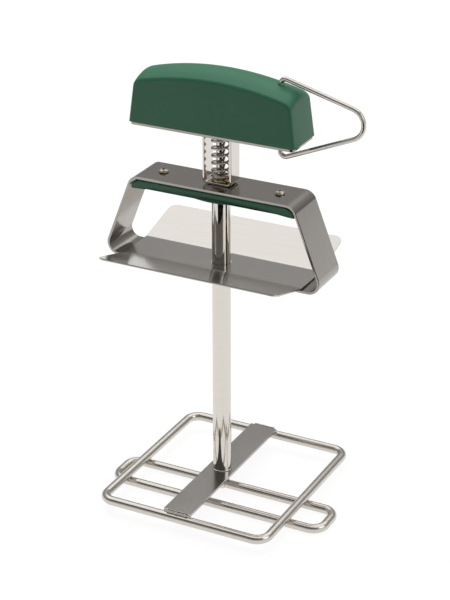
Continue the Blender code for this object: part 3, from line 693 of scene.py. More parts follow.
def coil_tree() -> Tree:
    """Return the tree that winds a compression spring with a closed turn at each end.

    Returns:
        The tree.
    """
    made = Tree("compression_spring", {"Wire Radius": MM, "Coil Radius": MM, "Bottom": 0.0,
                                       "Active Turns": 5.0, "Closed Pitch": MM, "Open Pitch": MM})
    given = made.given
    line = made.add("GeometryNodeCurvePrimitiveLine").outputs[0]
    fine = made.add("GeometryNodeResampleCurve", inputs={"Curve": line, "Count": 420}).outputs[0]
    share = made.add("GeometryNodeSplineParameter").outputs["Factor"]
    turns = made.maths("ADD", given["Active Turns"], 2.0)
    turn = made.maths("MULTIPLY", share, turns)
    open_turns = made.maths("MINIMUM", made.maths("MAXIMUM", made.maths("SUBTRACT", turn, 1.0), 0.0),
                            given["Active Turns"])
    closed_turns = made.maths("SUBTRACT", turn, open_turns)
    rise = made.maths("ADD", made.maths("MULTIPLY", open_turns, given["Open Pitch"]),
                      made.maths("MULTIPLY", closed_turns, given["Closed Pitch"]))
    angle = made.maths("MULTIPLY", turn, math.tau)
    spot = made.add("ShaderNodeCombineXYZ", inputs={
        0: made.maths("MULTIPLY", made.maths("COSINE", angle), given["Coil Radius"]),
        1: made.maths("MULTIPLY", made.maths("SINE", angle), given["Coil Radius"]),
        2: made.maths("ADD", rise, given["Bottom"])}).outputs[0]
    wound = made.add("GeometryNodeSetPosition", inputs={"Geometry": fine, "Position": spot}).outputs[0]
    ring = made.add("GeometryNodeCurvePrimitiveCircle", inputs={
        "Resolution": 14, "Radius": given["Wire Radius"]}).outputs[0]
    made.close(made.add("GeometryNodeCurveToMesh", inputs={
        "Curve": wound, "Profile Curve": ring, "Fill Caps": True}).outputs[0])
    return made


def weld_tree() -> Tree:
    """Return the tree that lays the overlapping ripples of a weld seam along a path.

    Returns:
        The tree.
    """
    made = Tree("weld_ripples", {"Radius": MM, "Step": MM, "Least Size": 0.7})
    route = made.add("GeometryNodeMeshToCurve", inputs={0: made.given["Geometry"]}).outputs[0]
    spots = made.add("GeometryNodeResampleCurve", {"mode": "LENGTH"}, {
        "Curve": route, "Length": made.given["Step"]}).outputs[0]
    drop = made.add("GeometryNodeMeshIcoSphere", inputs={"Radius": made.given["Radius"],
                                                        "Subdivisions": 3}).outputs[0]
    size = made.add("FunctionNodeRandomValue", {"data_type": "FLOAT"}, {
        2: made.given["Least Size"], 3: 1.0, "Seed": 4}).outputs[1]
    made.close(made.add("GeometryNodeInstanceOnPoints", inputs={
        "Points": spots, "Instance": drop, "Scale": size}).outputs[0])
    return made


def pair_tree() -> Tree:
    """Return the tree that sets one fastener on each side of the post.

    Returns:
        The tree.
    """
    made = Tree("fastener_pair", {"Half Spacing": MM}, ("Fastener",))
    given = made.given
    both = []
    for side in (-1.0, 1.0):
        place = made.add("ShaderNodeCombineXYZ", inputs={
            0: made.maths("MULTIPLY", given["Half Spacing"], side)}).outputs[0]
        held = made.add("GeometryNodeObjectInfo", inputs={"Object": given["Fastener"]})
        both.append(made.add("GeometryNodeTransform", inputs={
            "Geometry": held.outputs["Geometry"], "Translation": place}).outputs[0])
    joined = made.add("GeometryNodeJoinGeometry")
    for half in reversed(both):
        made.tree.links.new(half, joined.inputs[0])
    made.close(joined.outputs[0])
    return made


@dataclass
class Workshop:
    """The bench together with the Geometry Nodes trees."""

    bench: Bench
    wire: Tree
    coil: Tree
    weld: Tree
    pair: Tree

    def wire_piece(self, name: str, points: list[Vector], radius: float,
                   closed: bool = False) -> bpy.types.Object:
        """Return a bent round wire."""
        return self.wire.apply(path_object(name, points, closed), self.bench.materials["wire"],
                               Radius=radius)

    def screw_pair(self, name: str, screw: bpy.types.Object, half_spacing: float) -> bpy.types.Object:
        """Set a screw on each side of the post and delete the single one.

        Args:
            name: Name of the pair.
            screw: Screw on the axis.
            half_spacing: Distance of each from the post.

        Returns:
            The pair.
        """
        pair = self.pair.apply(path_object(name, [Vector()], False), self.bench.materials["screw"],
                               Half_Spacing=half_spacing, Fastener=screw)
        bpy.data.objects.remove(screw)
        return pair

    def seam(self, name: str, points: list[Vector], radius: float,
             closed: bool = False) -> bpy.types.Object:
        """Return a weld seam."""
        return self.weld.apply(path_object(name, points, closed), self.bench.materials["weld"],
                               Radius=radius, Step=radius * 0.8)


@dataclass(frozen=True)
class PanScrew:
    """A pan-head screw with a cross recess."""

    head_radius: float = 3.3 * MM
    head_height: float = 1.9 * MM
    shank_radius: float = 1.6 * MM
    rim_share: float = 0.35  # upright share of the head's height, at its rim
    fullness: float = 0.8  # under 1 makes the dome fuller
    recess: tuple[float, float, float] = (1.9, 0.42, 1.1)  # half sizes of each arm, in millimetres
    recess_turn: float = 20.0  # in degrees

    def make(self, name: str, seat: float, length: float, upward: bool) -> bpy.types.Object:
        """Make one screw on the axis.

        Args:
            name: Name of the piece.
            seat: Height of the seat under its head.
            length: Length of the shank.
            upward: Whether the head points up.

        Returns:
            The screw.
        """
        shank = self.shank_radius
        profile = [(self.head_radius * math.sin(angle) ** self.fullness,
                    self.head_height * (self.rim_share + (1 - self.rim_share) * math.cos(angle)))
                   for angle in quarter_turn()]
        profile += [(self.head_radius, 0), (shank, 0), (shank, -length + shank), (0, -length)]
        way = 1 if upward else -1
        made = turned(name, [(across, seat + way * up) for across, up in profile], closed=False, steps=48)
        crown = seat + way * self.head_height
        half = Vector(self.recess) * MM
        for turn in (self.recess_turn, self.recess_turn + 90):
            arm = block("recess", -half, half)
            arm.data.transform(Matrix.Translation((0, 0, crown))
                               @ Matrix.Rotation(math.radians(turn), 4, "Z"))
            drill(made, arm)
        return made


@dataclass
class Foot:
    """Wire frame, strap, post and their welds."""

    corner_radius: float = 9 * MM
    frame_shift: float = 3 * MM
    strap_hole: float = 3.6 * MM
    weld_radius: float = 1.2 * MM
    fillet: float = 0.5 * MM  # leg of the small hollow seam round the post
    post_wall: float = 1.2 * MM
    rod_hole: float = 3.3 * MM
    edge: float = 0.35 * MM
    chamfer: float = 0.3 * MM
    bead_share: float = 0.8  # of the weld's radius, so that its ripples stay inside

    def build(self, shop: Workshop) -> None:
        """Build every piece of the foot.

        Args:
            shop: Workshop that makes the pieces.
        """
        low, high = cad_box("foot_frame")
        radius = (high.z - low.z) / 2
        half_x = (high.x - low.x) / 2 - radius
        half_y = (high.y - low.y) / 2 - radius
        middle = low.z + radius
        corners = [Vector((self.frame_shift + x * half_x, y * half_y, middle))
                   for x, y in ((-1, -1), (1, -1), (1, 1), (-1, 1))]
        hoop = shop.wire_piece("frame_wire", rounded(corners, self.corner_radius, True), radius, True)
        shop.bench.place(hoop, Body.BASE, "polished_steel", "wire", "foot_frame")

        low, high = cad_box("strap")
        half = (high.x - low.x) / 2
        strap = block("cross_strap", Vector((-half, low.y, low.z)), Vector((half, high.y, high.z)))
        soften(strap, self.edge)
        settle(strap)
        drill(strap, cylinder(self.strap_hole, low.z - MM, high.z + MM))
        shop.bench.place(keep_flat(strap), Body.BASE, "brushed_steel", "strap", "strap")

        for node in ("strap_weld_near", "strap_weld_far"):
            low, high = cad_box(node)
            reach = (high.x - low.x) / 2 - self.weld_radius
            middle_y, middle_z = (low.y + high.y) / 2, (low.z + high.z) / 2
            ends = [Vector((side * reach, middle_y, middle_z)) for side in (-1, 1)]
            bead = shop.seam(node + "_bead", ends, self.weld_radius * self.bead_share)
            shop.bench.place(bead, Body.BASE, "weld_bead", "weld", node)

        low, high = cad_box("post_tube")
        outer = (high.x - low.x) / 2
        post = sleeve("post_shell", outer - self.post_wall, outer, low.z, high.z, self.chamfer)
        shop.bench.place(post, Body.BASE, "polished_steel", "tube", "post_tube")
        low, high = cad_box("post_weld")
        leg = self.fillet
        hollow = [(outer + FIT / 2 + leg * (1 - math.sin(angle)), low.z + leg * (1 - math.cos(angle)))
                  for angle in quarter_turn()]
        fillet = turned("post_weld_fillet", hollow[::-1] + [(outer + FIT / 2, low.z)])
        shop.bench.place(fillet, Body.BASE, "weld_bead", "tube", "post_weld")
        low, high = cad_box("lower_bush")
        bush = sleeve("lower_bush_sleeve", self.rod_hole, (high.x - low.x) / 2, low.z, high.z, self.chamfer)
        shop.bench.place(bush, Body.BASE, "brass", "brass", "lower_bush")


@dataclass
class Grip:
    """Bracket, finger pad, screws and heat shield."""

    strip_thickness: float = 1.8 * MM
    strip_width: float = 30.6 * MM
    bar_half_length: float = 58.6 * MM
    leg_splay: float = math.radians(21.2)
    bend_radius: float = 7.4 * MM
    shield_half_length: float = 65.5 * MM
    foot_overlap: float = 13 * MM
    shield_thickness: float = 1.2 * MM
    shield_flange: float = 38 * MM
    flange_slope: float = math.radians(15.6)
    shield_corner: float = 6 * MM
    pad_thickness: float = 5.9 * MM
    pad_wave: float = 1.2 * MM
    pad_wave_length: float = 60 * MM
    pad_depth: float = 29.8 * MM
    pad_edge: float = 2.2 * MM
    post_hole: float = 6.65 * MM
    bush_hole: float = 5.15 * MM
    screw_x: float = 42.5 * MM
    screw: PanScrew = PanScrew()
    screw_hole: float = 1.9 * MM
    screw_hole_depth: float = 5.2 * MM
    bar_cut: float = 3 * MM  # depth of the cut for the bush, through the bar
    pad_shoulder: float = 3 * MM
    pad_inset: float = 2 * MM
    pad_cut: float = 20 * MM
    shield_cut: float = 5 * MM
    fold_radius: float = 1.5 * MM
    edge: float = 0.3 * MM

    @property
    def top(self) -> float:
        """Return the height of the bar's upper face."""
        return cad_box("grip_bracket")[1].z

    def leg_line(self, height: float) -> float:
        """Return X of the right leg's middle line at a height."""
        drop = self.top - self.strip_thickness / 2 - height
        return self.bar_half_length + drop * math.tan(self.leg_splay)

    def build(self, shop: Workshop) -> None:
        """Build every piece of the grip.

        Args:
            shop: Workshop that makes the pieces.
        """
        low, high = cad_box("grip_bracket")
        foot = low.z + self.strip_thickness / 2
        bar = high.z - self.strip_thickness / 2
        right = [Vector((self.leg_line(bar), bar)), Vector((self.leg_line(foot), foot)),
                 Vector((self.shield_half_length - self.foot_overlap, foot))]
        corners = [Vector((-spot.x, spot.y)) for spot in reversed(right)] + right
        bracket = strip("bent_bracket", rounded(corners, self.bend_radius, steps=24), self.strip_thickness,
                        self.strip_width)
        drill(bracket, cylinder(self.bush_hole, high.z - self.bar_cut, high.z + MM))
        shop.bench.place(keep_flat(bracket), Body.BASE, "brushed_steel", "strip", "grip_bracket")
        self.build_pad(shop, high.z - self.strip_thickness - FIT)
        self.build_shield(shop, low.z + self.strip_thickness + FIT + self.shield_thickness)
        low, high = cad_box("grip_screw_left")
        head = self.screw.head_height
        screw = self.screw.make("one_grip_screw", high.z - head, high.z - low.z - head, True)
        pair = shop.screw_pair("grip_screws", screw, self.screw_x)
        shop.bench.place(pair, Body.BASE, "screw_steel", "screw", "grip_screw_left", "grip_screw_right")

    def build_pad(self, shop: Workshop, top: float) -> None:
        """Build the finger pad, whose underside waves for the fingers.

        Args:
            shop: Workshop that makes the pieces.
            top: Height of the pad's upper face.
        """
        gap = self.strip_thickness / 2 / math.cos(self.leg_splay) + 1.5 * FIT
        shoulder = top - self.pad_shoulder
        half_top = self.bar_half_length - self.bend_radius * math.tan(self.leg_splay) - self.pad_inset
        half_low = self.leg_line(top - self.pad_thickness) - gap
        side = self.leg_line(shoulder) - gap
        outline = [(-side, shoulder), (-half_top, top), (half_top, top), (side, shoulder)]
        for step in range(65):
            across = half_low * (1 - 2 * step / 64)
            wave = self.pad_wave * math.cos(math.tau * across / self.pad_wave_length)
            outline.append((across, top - self.pad_thickness - wave))
        pad = from_bmesh("finger_cushion", outline_block(outline, self.pad_depth))
        soften(pad, self.pad_edge, 5, 60)
        settle(pad)
        drill(pad, cylinder(self.post_hole, top - self.pad_cut, top + MM))
        for side_x in (-self.screw_x, self.screw_x):
            drill(pad, cylinder(self.screw_hole, top - self.screw_hole_depth, top + MM, side_x, 32))
        shop.bench.place(keep_flat(pad), Body.BASE, "green_rubber", "rubber", "finger_pad")

    def build_shield(self, shop: Workshop, top: float) -> None:
        """Build the shield: a flat middle and two long flanges that slope up.

        Args:
            shop: Workshop that makes the pieces.
            top: Height of the upper face of its flat middle.
        """
        flat = self.strip_width / 2
        rise = self.shield_flange * math.sin(self.flange_slope)
        reach = flat + self.shield_flange * math.cos(self.flange_slope)
        section = [(-reach, rise), (-flat, 0), (flat, 0), (reach, rise)]
        shape = bmesh.new()
        rows = [[shape.verts.new((x, y, top + up)) for y, up in section]
                for x in (-self.shield_half_length, self.shield_half_length)]
        for at in range(3):
            shape.faces.new((rows[0][at], rows[1][at], rows[1][at + 1], rows[0][at + 1]))
        corners = [rows[0][0], rows[0][-1], rows[1][0], rows[1][-1]]
        bmesh.ops.bevel(shape, geom=corners, offset=self.shield_corner, offset_type="OFFSET", segments=12,
                        profile=0.5, affect="VERTICES")
        folds = [edge for edge in shape.edges if len(edge.link_faces) == 2]
        bmesh.ops.bevel(shape, geom=folds, offset=self.fold_radius, offset_type="OFFSET", segments=8,
                        profile=0.5, affect="EDGES")
        shape.normal_update()
        bmesh.ops.reverse_faces(shape, faces=[face for face in shape.faces if face.normal.z < 0])
        mesh = bpy.data.meshes.new("folded_shield")
        shape.to_mesh(mesh)
        shape.free()
        shield = linked("folded_shield", mesh)
        thick = shield.modifiers.new("Sheet", "SOLIDIFY")
        thick.thickness = self.shield_thickness
        thick.offset = -1
        settle(shield)
        soften(shield, self.edge, 2, 60)
        settle(shield)
        drill(shield, cylinder(self.post_hole, top - self.shield_cut, top + self.shield_cut))
        shop.bench.place(keep_flat(shield), Body.BASE, "sheet_steel", "sheet", "heat_shield")


@dataclass
class SpringUnit:
    """Stirrup, flanged bush, spring, rod and washers."""

    thickness: float = 1.5 * MM
    bend_radius: float = 2.6 * MM
    bush_hole: float = 5.15 * MM
    bush_radius: float = 4.85 * MM
    flange_height: float = 1.1 * MM
    rod_hole: float = 3.3 * MM
    spring_wire: float = 0.85 * MM
    active_turns: int = 5
    closed_pitch_share: float = 1.08
    chamfer: float = 0.2 * MM
    rod_chamfer: float = 0.4 * MM

    def build(self, shop: Workshop) -> None:
        """Build every piece of the spring unit.

        Args:
            shop: Workshop that makes the pieces.
        """
        low, high = cad_box("spring_stirrup")
        half = (high.x - low.x - self.thickness) / 2
        floor = low.z + self.thickness / 2
        corners = [Vector((-half, high.z)), Vector((-half, floor)),
                   Vector((half, floor)), Vector((half, high.z))]
        stirrup = strip("stirrup_strip", rounded(corners, self.bend_radius), self.thickness, high.y - low.y)
        drill(stirrup, cylinder(self.bush_hole, low.z - MM, low.z + self.thickness + MM))
        shop.bench.place(keep_flat(stirrup), Body.BASE, "polished_steel", "tube", "spring_stirrup")

        low, high = cad_box("upper_bush")
        flange = (high.x - low.x) / 2
        under = high.z - self.flange_height
        profile = [(self.rod_hole, high.z), (flange - self.chamfer, high.z),
                   (flange, high.z - self.chamfer),
                   (flange, under), (self.bush_radius, under), (self.bush_radius, low.z),
                   (self.rod_hole, low.z)]
        shop.bench.place(turned("flanged_bush", profile), Body.BASE, "brass", "brass", "upper_bush")

        low, high = cad_box("spring")
        coil = (high.x - low.x) / 2 - self.spring_wire
        closed = 2 * self.spring_wire * self.closed_pitch_share
        length = high.z - low.z
        spread = (length - 2 * self.spring_wire - 2 * closed) / self.active_turns
        spring = shop.coil.apply(path_object("spring_coil", [Vector()], False),
                                 shop.bench.materials["spring"],
                                 Wire_Radius=self.spring_wire, Coil_Radius=coil,
                                 Bottom=low.z + self.spring_wire, Active_Turns=float(self.active_turns),
                                 Closed_Pitch=closed, Open_Pitch=spread)
        shop.bench.place(spring, Body.PLUNGER, "spring_steel", "spring", "spring")
        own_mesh(spring)

        low, high = cad_box("actuating_rod")
        radius = (high.x - low.x) / 2
        rod = turned("push_rod", [(0, high.z), (radius - self.rod_chamfer, high.z),
                                  (radius, high.z - self.rod_chamfer),
                                  (radius, low.z), (0, low.z)], closed=False, steps=64)
        shop.bench.place(rod, Body.PLUNGER, "polished_steel", "tube", "actuating_rod")
        for node in ("rod_washer", "spring_washer"):
            low, high = cad_box(node)
            ring = sleeve(node + "_ring", self.rod_hole, (high.x - low.x) / 2, low.z, high.z, self.chamfer)
            shop.bench.place(ring, Body.PLUNGER, "polished_steel", "wire", node)
        shop.bench.dress("rod_nut", "wire")


@dataclass
class Handle:
    """Moulded cover, base plate and its screws."""

    arch: float = 8.4 * MM
    crown: float = 5.6 * MM
    end_lean: float = 3.6 * MM
    end_radius: float = 7 * MM
    side_taper: float = 0.07
    edge_radius: float = 1.6 * MM
    shoulder_share: float = 0.87
    pocket_clearance: float = 2 * MM
    headroom: float = 22 * MM  # travel of the handle and what stays free above it
    bore_radius: float = 1.9 * MM
    screw_x: float = 28 * MM
    screw: PanScrew = PanScrew()
    nut_room: float = 6.2 * MM  # half the pocket's least depth
    past_crown: float = 9 * MM  # how far the loop's bore is cut past the top
    rim_angle: float = math.radians(45)
    rim_above: float = 0.1 * MM  # edges lower than this stay sharp

    def outline(self, half: float, bottom: float, side_top: float) -> list[Point]:
        """Return the front outline: leaning ends, round shoulders and an arched crown.

        Args:
            half: Half the length at the bottom.
            bottom: Height of the bottom.
            side_top: Height of the shoulders.

        Returns:
            The corners, in order.
        """
        top_half = half - self.end_lean
        big = (top_half ** 2 + self.arch ** 2) / (2 * self.arch)
        centre = side_top + self.arch - big
        shoulder_x = (big - self.end_radius) * math.sin(math.asin(top_half / big) * self.shoulder_share)
        crown = []
        for step in range(49):
            angle = math.asin(shoulder_x / big) * (1 - 2 * step / 48)
            crown.append((big * math.sin(angle), centre + big * math.cos(angle)))
        corners = [Vector((half, bottom)), Vector((top_half, side_top)), Vector(crown[0])]
        right = [tuple(spot) for spot in rounded(corners, self.end_radius)[1:-1]]
        left = [(-across, up) for across, up in reversed(right)]
        return [(-half, bottom), (half, bottom)] + right + crown + left

    def build(self, shop: Workshop) -> None:
        """Build the cover and its screws, and dress the plate.

        Args:
            shop: Workshop that makes the pieces.
        """
        low, high = cad_box("handle_cover")
        width = high.y - low.y
        height = high.z - low.z
        outline = self.outline((high.x - low.x) / 2, low.z, high.z - self.arch)
        shape = outline_block(outline, width)
        ribs = [edge for edge in shape.edges
                if abs(edge.verts[0].co.y - edge.verts[1].co.y) > width / 2]
        bmesh.ops.subdivide_edges(shape, edges=ribs, cuts=15)
        for vertex in shape.verts:
            share = (vertex.co.z - low.z) / height
            vertex.co.z -= self.crown * share * (vertex.co.y / (width / 2)) ** 2
            vertex.co.y *= 1 - self.side_taper * share
        shape.normal_update()
        rim = [edge for edge in shape.edges
               if max(vertex.co.z for vertex in edge.verts) > low.z + self.rim_above
               and edge.calc_face_angle(0) > self.rim_angle]
        bmesh.ops.bevel(shape, geom=rim, offset=self.edge_radius, offset_type="OFFSET", segments=6,
                        profile=0.5, affect="EDGES", clamp_overlap=True)
        cover = from_bmesh("moulded_cover", shape)
        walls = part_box("spring_stirrup")
        deep = walls[1][2] + self.headroom
        across = (walls[1][0] - walls[0][0]) / 2 + self.pocket_clearance
        along = max((walls[1][1] - walls[0][1]) / 2, self.nut_room) + self.pocket_clearance
        drill(cover, block("pocket", Vector((-across, -along, low.z - MM)), Vector((across, along, deep))))
        pivot = Vector(joint("loop_swing")["pos_m"])
        drill(cover, cylinder(self.bore_radius, low.z - MM, high.z + self.past_crown,
                              pivot.x - shop.bench.post_x, 48))
        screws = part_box("handle_screw_left")
        for side in (-1, 1):
            drill(cover, cylinder(self.bore_radius, low.z - MM, screws[1][2] + FIT,
                                  side * self.screw_x, 32))
        shop.bench.place(keep_flat(cover), Body.PLUNGER, "green_rubber", "rubber", "handle_cover")
        shop.bench.dress("handle_base_plate", "strip")
        seat = screws[0][2] + self.screw.head_height
        screw = self.screw.make("one_handle_screw", seat, screws[1][2] - seat, False)
        pair = shop.screw_pair("handle_screws", screw, self.screw_x)
        shop.bench.place(pair, Body.PLUNGER, "screw_steel", "screw", "handle_screw_left",
                         "handle_screw_right")


@dataclass
class Hook:
    """The long wire hook and its welds to the rod."""

    depth: float = 27.4 * MM
    shift: float = 8 * MM
    corner_radius: float = 9 * MM
    start: float = 3.3 * MM
    weld_reach: float = 0.05 * MM

    def build(self, shop: Workshop) -> None:
        """Build the hook and its welds.

        Args:
            shop: Workshop that makes the pieces.
        """
        low, high = cad_box("hook_loop")
        radius = (high.z - low.z) / 2
        half = (high.x - low.x) / 2 - radius
        level = low.z + radius
        right, left = self.shift + half, self.shift - half
        route = [(self.start, 0), (right, 0), (right, -self.depth), (left, -self.depth), (left, 0),
                 (-self.start, 0)]
        points = rounded([Vector((x, y, level)) for x, y in route], self.corner_radius)
        hook = shop.wire_piece("hook_wire", points, radius)
        shop.bench.place(hook, Body.PLUNGER, "polished_steel", "wire", "hook_loop")
        for node in ("hook_weld_left", "hook_weld_right"):
            low, high = cad_box(node)
            radius = (high.z - low.z) / 2
            spot = (low + high) / 2 - Vector((shop.bench.post_x, 0, 0))
            reach = Vector((0, self.weld_reach, 0))
            bead = shop.seam(node + "_bead", [spot - reach, spot + reach], radius)
            shop.bench.place(bead, Body.PLUNGER, "weld_bead", "weld", node)


@dataclass
class HangingLoop:
    """The wire loop that swings in the end of the handle."""

    wire_radius: float = 1.6 * MM
    nose_x: float = 99.37 * MM
    nose_radius: float = 10.5 * MM
    upper_slope: float = -0.273
    lower_slope: float = 0.4195
    crest: float = 40.99 * MM
    bend_radius: float = 3.6 * MM
    low_end: float = 10 * MM
    top_end: float = 15 * MM

    def build(self, shop: Workshop) -> None:
        """Build the loop.

        Args:
            shop: Workshop that makes the pieces.
        """
        pivot = Vector(joint("loop_swing")["pos_m"])
        x, bottom = pivot.x - shop.bench.post_x, pivot.z
        crest = bottom + self.crest
        half_angle = (math.atan(-self.upper_slope) + math.atan(self.lower_slope)) / 2
        apex_x = self.nose_x + self.nose_radius / math.sin(half_angle) - self.nose_radius
        apex = Vector((apex_x, 0, crest + self.upper_slope * (apex_x - x)))
        heel = Vector((x, 0, apex.z - self.lower_slope * (apex_x - x)))
        top = Vector((x, 0, crest))
        upper = rounded([top - Vector((0, 0, self.top_end)), top, apex], self.bend_radius)
        nose = rounded([top, apex, heel], self.nose_radius, steps=30)
        lower = rounded([apex, heel, Vector((x, 0, bottom + self.low_end))], self.bend_radius)
        loop = shop.wire_piece("loop_wire", upper[:-1] + nose[1:-1] + lower[1:], self.wire_radius)
        shop.bench.place(loop, Body.LOOP, "polished_steel", "wire", "hanging_loop")


@dataclass(frozen=True)
class Softbox:
    """A square lamp."""

    name: str
    place: tuple[float, float, float]
    size: float
    power: float
    level: bool = False  # hangs level, rather than facing the object
    in_metal: bool = True  # shows in reflections


@dataclass
class Studio:
    """Floor, soft lights, backdrop seen by the metal, and the camera."""

    azimuth: float = math.radians(27.32)
    elevation: float = math.radians(25.288)
    distance: float = 1.2873
    aim: tuple[float, float, float] = (-0.0093, 0.0011, 0.1444)
    roll: float = math.radians(-0.19)
    lens: float = 115.35
    lamps: tuple[Softbox, ...] = (
        Softbox("overhead_softbox", (-0.5, 0.9, 2.3), 4.0, 52.0, level=True),
        Softbox("overhead_fill", (-0.3, 0.5, 2.2), 2.0, 56.0, level=True, in_metal=False),
        Softbox("right_softbox", (1.7, -0.1, 1.1), 1.2, 7.0))
    room_light: float = 0.2  # grey light on everything that isn't metal
    floor_colour: str = "#F7F7F6"
    floor_radius: float = 12.0
    floor_white: float = 0.93  # share of plain white; the rest keeps the shadow
    flag_colour: str = "#0C0C0C"
    wall_radius: float = 3.0
    flag_start: float = 0.41
    flag_left: float = math.radians(42)
    flag_right: float = math.radians(26)
    wall_height: float = 4.0
    wall_levels: tuple[Point, ...] = ((0.0, 0.85), (0.03, 0.85), (0.1, 0.24), (0.3, 0.36), (0.4, 0.42),
                                      (0.6, 0.5), (1.0, 0.32))  # share of its height, brightness
    front_levels: tuple[Point, ...] = ((0.0, 0.85), (0.03, 0.85), (0.1, 0.42), (0.3, 0.4), (0.38, 0.1),
                                       (0.6, 0.1), (1.0, 0.2))
    front_ends: float = -1.4  # Y where the front's brightness starts to give way
    rear_starts: float = 0.6

    def build(self) -> None:
        """Build the whole studio."""
        self.build_world()
        self.build_floor()
        self.build_wall()
        self.build_flag()
        for box in self.lamps:
            self.lamp(box)
        self.build_camera()

    def build_world(self) -> None:
        """White for what the camera and the metal see, plain grey light for the rest."""
        world = bpy.data.worlds.new("studio")
        bpy.context.scene.world = world
        world.use_nodes = True
        tree = world.node_tree
        tree.nodes.clear()
        level = add_node(tree, "ShaderNodeMapRange", inputs={
            "Value": shown_rays(tree), "To Min": self.room_light, "To Max": 1.0})
        light = add_node(tree, "ShaderNodeBackground", inputs={"Color": (1, 1, 1, 1),
                                                               "Strength": level.outputs[0]})
        add_node(tree, "ShaderNodeOutputWorld", inputs={"Surface": light.outputs[0]})

    def build_floor(self) -> None:
        """A pale round floor that keeps the object's shadow."""
        shape = bmesh.new()
        bmesh.ops.create_circle(shape, cap_ends=True, segments=64, radius=self.floor_radius)
        floor = from_bmesh("studio_floor", shape)
        made, tree = blank_material("pale_paper")
        paper = add_node(tree, "ShaderNodeBsdfDiffuse", inputs={"Color": linear(self.floor_colour)})
        white = add_node(tree, "ShaderNodeEmission", inputs={"Color": (1, 1, 1, 1), "Strength": 1.0})
        share = add_node(tree, "ShaderNodeMath", {"operation": "MULTIPLY"}, {
            0: shown_rays(tree), 1: self.floor_white})
        mix = add_node(tree, "ShaderNodeMixShader", inputs={0: share.outputs[0], 1: paper.outputs[0],
                                                            2: white.outputs[0]})
        add_node(tree, "ShaderNodeOutputMaterial", inputs={"Surface": mix.outputs[0]})
        floor.data.materials.append(made)

    def build_wall(self) -> None:
        """Add a grey wall and ceiling, seen only in the metal, darker in front and at the horizon."""
        shape = bmesh.new()
        bmesh.ops.create_cone(shape, cap_ends=True, segments=96, radius1=self.wall_radius,
                              radius2=self.wall_radius, depth=self.wall_height,
                              matrix=Matrix.Translation((0, 0, self.wall_height / 2)))
        bottom = [face for face in shape.faces if face.calc_center_median().z < MM]
        bmesh.ops.delete(shape, geom=bottom, context="FACES_ONLY")
        wall = from_bmesh("studio_wall", shape)
        made, tree = blank_material("grey_studio_wall")
        place = add_node(tree, "ShaderNodeTexCoord").outputs["Object"]
        height = add_node(tree, "ShaderNodeSeparateXYZ", inputs={0: place}).outputs[2]
        share = add_node(tree, "ShaderNodeMath", {"operation": "DIVIDE"}, {0: height, 1: self.wall_height})
        behind = self.wall_ramp(tree, share.outputs[0], self.wall_levels)
        ahead = self.wall_ramp(tree, share.outputs[0], self.front_levels)
        depth = add_node(tree, "ShaderNodeSeparateXYZ", inputs={0: place}).outputs[1]
        rear = add_node(tree, "ShaderNodeMapRange", {"interpolation_type": "SMOOTHSTEP"}, {
            "Value": depth, "From Min": self.front_ends, "From Max": self.rear_starts})
        level = add_node(tree, "ShaderNodeMix", {"data_type": "FLOAT"}, {
            0: rear.outputs[0], 2: ahead, 3: behind})
        glow = add_node(tree, "ShaderNodeEmission", inputs={"Strength": level.outputs[0]})
        add_node(tree, "ShaderNodeOutputMaterial", inputs={"Surface": glow.outputs[0]})
        wall.data.materials.append(made)
        self.show_to_metal(wall)

    def wall_ramp(self, tree: bpy.types.NodeTree, share: bpy.types.NodeSocket,
                  levels: tuple[Point, ...]) -> bpy.types.NodeSocket:
        """Add a ramp of brightness over the wall's height.

        Args:
            tree: Tree of the wall's material.
            share: Share of the wall's height.
            levels: Pairs of share and brightness.

        Returns:
            The brightness.
        """
        ramp = add_node(tree, "ShaderNodeValToRGB", inputs={0: share})
        stops = ramp.color_ramp.elements
        while len(stops) < len(levels):
            stops.new(0.5)
        for stop, (place_up, level) in zip(stops, levels):
            stop.position = place_up
            stop.color = (level, level, level, 1.0)
        return ramp.outputs[0]

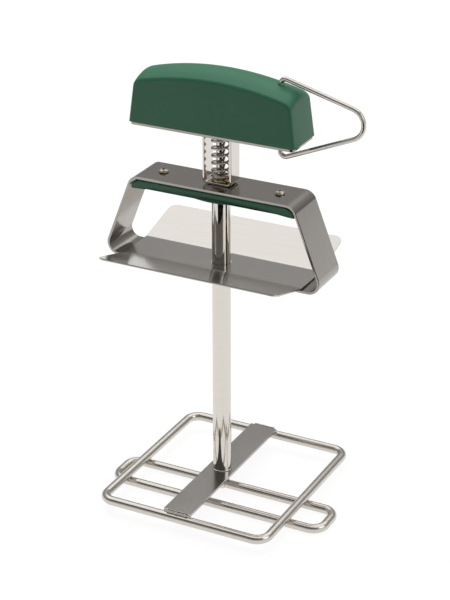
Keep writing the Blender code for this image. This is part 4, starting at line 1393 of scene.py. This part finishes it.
    def build_flag(self) -> None:
        """A black flag on the table in front, beyond the paper, seen only in the metal."""
        ahead = -math.pi / 2 + self.azimuth
        left, right = ahead - self.flag_left, ahead + self.flag_right
        rims = []
        for radius in (self.flag_start, self.wall_radius):
            angles = [left + (right - left) * step / 24 for step in range(25)]
            rims.append([(radius * math.cos(a), radius * math.sin(a), 2 * MM) for a in angles])
        shape = bmesh.new()
        shape.faces.new([shape.verts.new(spot) for spot in rims[0] + rims[1][::-1]])
        flag = from_bmesh("studio_flag", shape)
        made, tree = blank_material("black_flag_cloth")
        cloth = add_node(tree, "ShaderNodeBsdfDiffuse", inputs={"Color": linear(self.flag_colour)})
        add_node(tree, "ShaderNodeOutputMaterial", inputs={"Surface": cloth.outputs[0]})
        flag.data.materials.append(made)
        self.show_to_metal(flag)

    def show_to_metal(self, thing: bpy.types.Object) -> None:
        """Stage a thing that only reflections show.

        Args:
            thing: The thing.
        """
        for kind in ("camera", "diffuse", "transmission", "volume_scatter", "shadow"):
            setattr(thing, "visible_" + kind, False)

    def lamp(self, box: Softbox) -> None:
        """Add a lamp.

        Args:
            box: The lamp.
        """
        data = bpy.data.lights.new(box.name, "AREA")
        data.size = box.size
        data.energy = box.power
        made = bpy.data.objects.new(box.name, data)
        bpy.context.scene.collection.objects.link(made)
        made.location = box.place
        made.visible_glossy = box.in_metal
        if not box.level:
            facing = Vector(self.aim) - Vector(box.place)
            made.rotation_euler = facing.to_track_quat("-Z", "Y").to_euler()

    def build_camera(self) -> None:
        """Add the camera."""
        flat = math.cos(self.elevation)
        away = Vector((math.sin(self.azimuth) * flat, -math.cos(self.azimuth) * flat,
                       math.sin(self.elevation)))
        data = bpy.data.cameras.new("camera")
        data.lens = self.lens
        camera = bpy.data.objects.new("camera", data)
        bpy.context.scene.collection.objects.link(camera)
        camera.location = Vector(self.aim) + away * self.distance
        facing = (-away).to_track_quat("-Z", "Y").to_matrix() @ Matrix.Rotation(self.roll, 3, "Z")
        camera.rotation_euler = facing.to_euler()
        bpy.context.scene.camera = camera


def main() -> None:
    """Build the studio and every sub-assembly, in order."""
    logging.basicConfig(level=logging.INFO)
    bpy.context.scene.view_settings.view_transform = "Standard"
    Studio().build()
    finishes = Finishes()
    materials = {name: finish.build() for name, finish in vars(finishes).items()}
    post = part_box("post_tube")
    bench = Bench(materials, (post[0][0] + post[1][0]) / 2)
    shop = Workshop(bench, wire_tree(), coil_tree(), weld_tree(), pair_tree())
    for unit in (Foot(), Grip(), SpringUnit(), Handle(), Hook(), HangingLoop()):
        LOG.info("building %s", type(unit).__name__)
        unit.build(shop)


if __name__ == "__main__":
    main()
